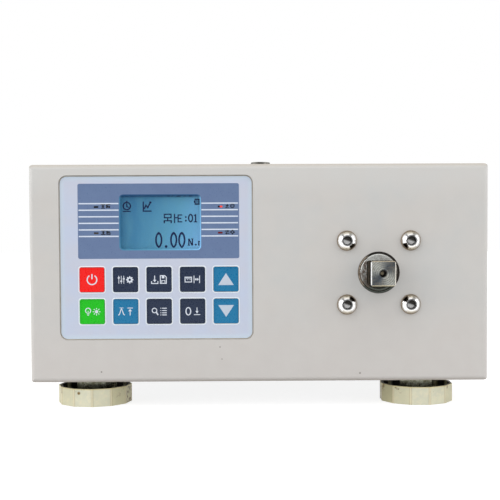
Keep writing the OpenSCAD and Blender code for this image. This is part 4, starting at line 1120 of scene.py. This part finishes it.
def curve_and_peak():
    """Curve with its peak, and an arrow up to a bar."""
    curve = [(-3.95, -1.9), (-3.3, -1.5), (-2.75, 0.3), (-2.25, 1.5), (-1.75, 0.3), (-1.2, -1.5),
             (-0.55, -1.9)]
    return [stroke(curve, PEN), bar(-3.3, 1.75, -1.2, 2.05),
            bar(0.8, 1.6, 3.7, 2.02), bar(2.02, -2.1, 2.48, 0.4), [[(1.25, 0.1), (3.25, 0.1), (2.25, 1.4)]]]


def lens_and_list():
    """Magnifier, and lines of a list."""
    rows = (1.6, 0.4, -0.8, -1.9)
    return [ring(-2.5, 0.45, 1.2, PEN), stroke([(-1.65, -0.4), (-0.6, -1.95)], THICK_PEN),
            *[bar(1.5, z - 0.22, 3.9, z + 0.22) for z in rows],
            *[bar(0.6, z - 0.22, 1.05, z + 0.22) for z in rows]]


def zero_and_pointer():
    """The figure, and a pointer on its mark."""
    return [stroke(oval(-2.3, -0.05, 2.5, 3.9), 0.55, True), bar(0.6, -2.05, 3.9, -1.65),
            [[(2.25, -1.3), (1.45, 0.1), (3.05, 0.1)]], bar(2.05, 0, 2.45, 1.9)]


LEGENDS = {
    "power": [stroke(arc(0, 0, 2.5, 122, 418, 30), THICK_PEN), stroke([(0, 0.3), (0, 3)], THICK_PEN)],
    "set": sliders_and_gear(),
    "save": tray_and_disk(),
    "unit": rule_and_limits(),
    "up": [[[(-4.1, -3.1), (4.1, -3.1), (0, 3.15)]]],
    "light": lamp_and_sun(),
    "peak": curve_and_peak(),
    "view": lens_and_list(),
    "zero": zero_and_pointer(),
    "down": [[[(-4.1, 3.1), (0, -3.15), (4.1, 3.1)]]],
}
KEY_GAP = 0.2  # between a key and the print round it
KEY_RIM = 0.5
KEY_SINK = 0.15  # how far a key's middle lies behind its rim
# width of the painted highlight round each key
RIM_HIGHLIGHT_W = 0.6
SKIN_OUT = 0.01  # the colour on the rim lies this far before it


def square_loop(centre, side, r):
    return rounded(centre.x, centre.z, side, side, r)


def key_prints():
    rim_highlights = []
    for key, tint in KEYS.items():
        centre = middle("key_" + key)
        rim = box_mm("key_" + key)[0].y - FRONT
        ink = INK["arrow" if key in ("up", "down") else "white"]
        body = "key_" + key + "_cap"
        at = (centre.x, centre.z)
        plates("legend_" + key, LEGENDS[key], rim + KEY_SINK - INK_T, ink, body, at)
        skin = [square_loop(centre, KEY_SIDE, 0.5), square_loop(centre, KEY_SIDE - 2 * KEY_RIM, 0.4)]
        plates("skin_" + key, [skin], rim - SKIN_OUT, KEY_LOOKS[tint], body)
        hole = KEY_SIDE + 2 * KEY_GAP
        # painted highlight of the embossed rim, on the film round the key
        rim_highlights.append([square_loop(centre, hole + 2 * RIM_HIGHLIGHT_W, 1.5), square_loop(centre, hole, 1.1)])
    plates("painted_key_rim_highlights", rim_highlights, FILM_FACE - INK_T, INK["outline"])


key_prints()

# Figures of the display, from a corner near the window's top left

FIGURES_AT = (PAD_X + 30.8, PAD_Z - 9.6)


def reading():
    """Reading 0.00 in newton metres."""
    out = [stroke(oval(x, -24.15, 2.95, 7.5, 0.35), 0.92, True) for x in (20.85, 28.7, 32.95)]
    return out + [disc(24.7, -27.6, 0.72, 12), bar(36.3, -27.2, 36.95, -23.5), bar(38.2, -27.2, 38.85, -23.5),
                  stroke([(36.7, -23.6), (38.4, -27.1)], 0.7), bar(36, -27.2, 37.3, -26.8),
                  bar(37.8, -23.9, 39.1, -23.5), disc(40.25, -26.75, 0.5, 10), bar(41.5, -27.2, 42.05, -24.7),
                  bar(42.3, -27.2, 42.85, -25), bar(41.5, -25.2, 42.85, -24.75)]


def channel():
    """Channel 01 after a colon, and two signs: a box on a line, and a branch."""
    number = [disc(35.15, -12.2, 0.5, 10), disc(35.15, -14.1, 0.5, 10),
              stroke(oval(37.65, -12.75, 2.1, 3.9, 0.2), 0.7, True), bar(39.9, -14.9, 40.6, -10.7),
              bar(39.3, -11.6, 40.1, -11.1), bar(39.25, -15, 41.2, -14.5)]
    box = [stroke([(23.9, -10.7), (27.4, -10.7), (27.4, -12.5), (23.9, -12.5)], 0.62, True),
           bar(25.3, -14, 25.95, -12.5), bar(23.5, -14.4, 27.8, -13.8), bar(23.5, -15.4, 24.2, -14.3),
           bar(27.1, -15.4, 27.8, -14.3)]
    branch = [bar(28.9, -15.3, 29.55, -10.5), bar(29.4, -12.8, 31.2, -12.2), bar(30.8, -15, 31.4, -10.8),
              bar(31.2, -11.4, 33.3, -10.8), bar(31.2, -15, 33.3, -14.4), bar(31.2, -13.2, 32.8, -12.6)]
    return number + box + branch


def running_signs():
    """A clock, a trace with its peak, a battery in the window's corner and dashes at its top."""
    clock = [ring(4.25, -6.3, 1.9, 0.7), stroke([(4.25, -5), (4.25, -6.5), (5.3, -7.1)], 0.6),
             bar(2.2, -9.4, 6.3, -8.8), bar(3.9, -4.4, 4.6, -3.6)]
    trace = [stroke([(12.9, -4), (12.9, -9), (17.2, -9)], 0.66),
             stroke([(13.4, -7.9), (14.3, -6), (15.2, -7.2), (16.5, -4.6)], 0.7),
             disc(16.6, -4.5, 0.62, 10)]
    battery = [stroke([(40.1, -2.9), (42.6, -2.9), (42.6, -5.5), (40.1, -5.5)], 0.6, True),
               bar(39.4, -4.8, 40, -3.6), bar(40.8, -5.2, 41.3, -3.2), bar(41.7, -5.2, 42.2, -3.2)]
    dashes = ((25.6, 1.2), (28, 0.5), (30.4, 2.2), (34.2, 0.9), (36.8, 1.8))
    return clock + trace + battery + [bar(x, -1.4, x + length, -1) for x, length in dashes]


plates("lcd_figures", reading() + channel() + running_signs(), GLASS_FACE - INK_T, FIGURE_LOOK,
       origin=FIGURES_AT)

# Bubble level

BUBBLE = [(0, -0.02), (1.9, -0.02), (2.05, 0.02), (1.9, 0.06), (1.4, 0.11), (0.7, 0.14), (0, 0.15)]
LEVEL_MARK = [(2.7, -0.02), (2.95, -0.02), (2.95, 0.03), (2.7, 0.03), (2.7, -0.02)]
BUBBLE_OFF = (0.4, -0.3)


def level_pieces():
    """Bubble and its ring mark on top of the vial."""
    centre = middle("level_vial")
    top = box_mm("level_vial")[1].z
    bubble_at = (centre.x + BUBBLE_OFF[0], centre.y + BUBBLE_OFF[1], top)
    lathe("level_bubble", BUBBLE, bubble_at, air_look(), "case", 40, 60)
    lathe("level_mark", LEVEL_MARK, (centre.x, centre.y, top), INK["black"], "case")


level_pieces()

# Stage and light; from here lengths are in metres

FLOOR_HALF = 6.0
FLOOR_DROP = 0.0002
FLOOR_GLOW = 0.82
WORLD_LIGHT = 1.06
ROOM = 0.26  # what metal shows in front of the part
PANELS = 1.15  # and at both sides
LAMPS = (  # name, place, target, width, height and power in watts
    ("softbox_left", (-1.1, -0.75, 0.55), (0, 0, 0.07), 0.7, 0.9, 2.8),
    ("softbox_right", (1.1, -0.7, 0.5), (0, 0, 0.07), 0.6, 0.9, 1.8),
    ("softbox_top", (0.0, -0.35, 1.2), (0, 0, 0.05), 1.0, 0.8, 1.6),
    ("strip_left", (-1.1, 0.0, 0.25), (0, 0, 0.07), 0.3, 0.9, 2.0),
    ("strip_right", (1.1, 0.0, 0.25), (0, 0, 0.07), 0.3, 0.9, 0.5),
)


def floor_look():
    """Grey to light and white to the eye, with the part's shadow; dark to metal in front of the part."""
    mat = bpy.data.materials.new("floor")
    mat.use_nodes = True
    mat.node_tree.nodes.clear()
    t = Nodes(mat.node_tree)
    ray = t.node("LightPath").outputs
    seen = t.most(ray["Is Camera Ray"], ray["Is Glossy Ray"], ray["Is Transmission Ray"])
    glow = t.named(t.node("Emission"), Strength=FLOOR_GLOW)
    pale = t.fed(t.node("AddShader"), t.diffuse(0.4), glow.outputs[0])
    y = t.split(t.node("TexCoord").outputs["Object"])["Y"]
    unlit = t.times(t.ease(y, -0.25, -0.7, 0.0, 0.9), ray["Is Glossy Ray"])
    shown = t.blend(unlit, pale, t.diffuse(0.02))
    t.put(t.node("OutputMaterial").inputs[0], t.blend(seen, t.diffuse(0.5), shown))
    return mat


def make_floor():
    mesh = bpy.data.meshes.new("floor")
    corners = [(x * FLOOR_HALF, y * FLOOR_HALF, 0) for x, y in ((-1, -1), (1, -1), (1, 1), (-1, 1))]
    mesh.from_pydata(corners, [], [(0, 1, 2, 3)])
    mesh.materials.append(floor_look())
    floor = add("floor", mesh)
    floor.location.z = -FLOOR_DROP


def make_world():
    """Even light on the part, white behind it; metal shows bright panels and a grey room."""
    world = bpy.data.worlds.new("studio")
    world.cycles.sampling_method = "NONE"
    world.use_nodes = True
    world.node_tree.nodes.clear()
    bpy.context.scene.world = world
    t = Nodes(world.node_tree)
    ray = t.node("LightPath").outputs
    x, y, z = t.split(t.node("TexCoord").outputs["Generated"])
    sides_of_room = t.ease(t.size(x), 0.5, 0.85, ROOM, PANELS)
    backdrop = t.ease(y, 0.0, 0.6)
    ceiling = t.ease(z, 0.5, 0.95, 0.0, 0.6)
    white = (1, 1, 1, 1)
    room, light, behind = (t.fed(t.node("Background"), white, strength)
                           for strength in (t.most(sides_of_room, backdrop, ceiling), WORLD_LIGHT, 1.0))
    lit = t.blend(t.most(ray["Is Glossy Ray"], ray["Is Transmission Ray"]), light, room)
    t.put(t.node("OutputWorld").inputs[0], t.blend(ray["Is Camera Ray"], lit, behind))


def make_lamps():
    for name, place, target, w, h, power in LAMPS:
        data = bpy.data.lights.new(name, "AREA")
        data.shape = "RECTANGLE"
        data.size = w
        data.size_y = h
        data.energy = power
        lamp = add(name, data)
        lamp.location = place
        lamp.rotation_euler = (Vector(target) - Vector(place)).to_track_quat("-Z", "Y").to_euler()


make_floor()
make_world()
make_lamps()
bpy.context.scene.view_settings.view_transform = "Standard"
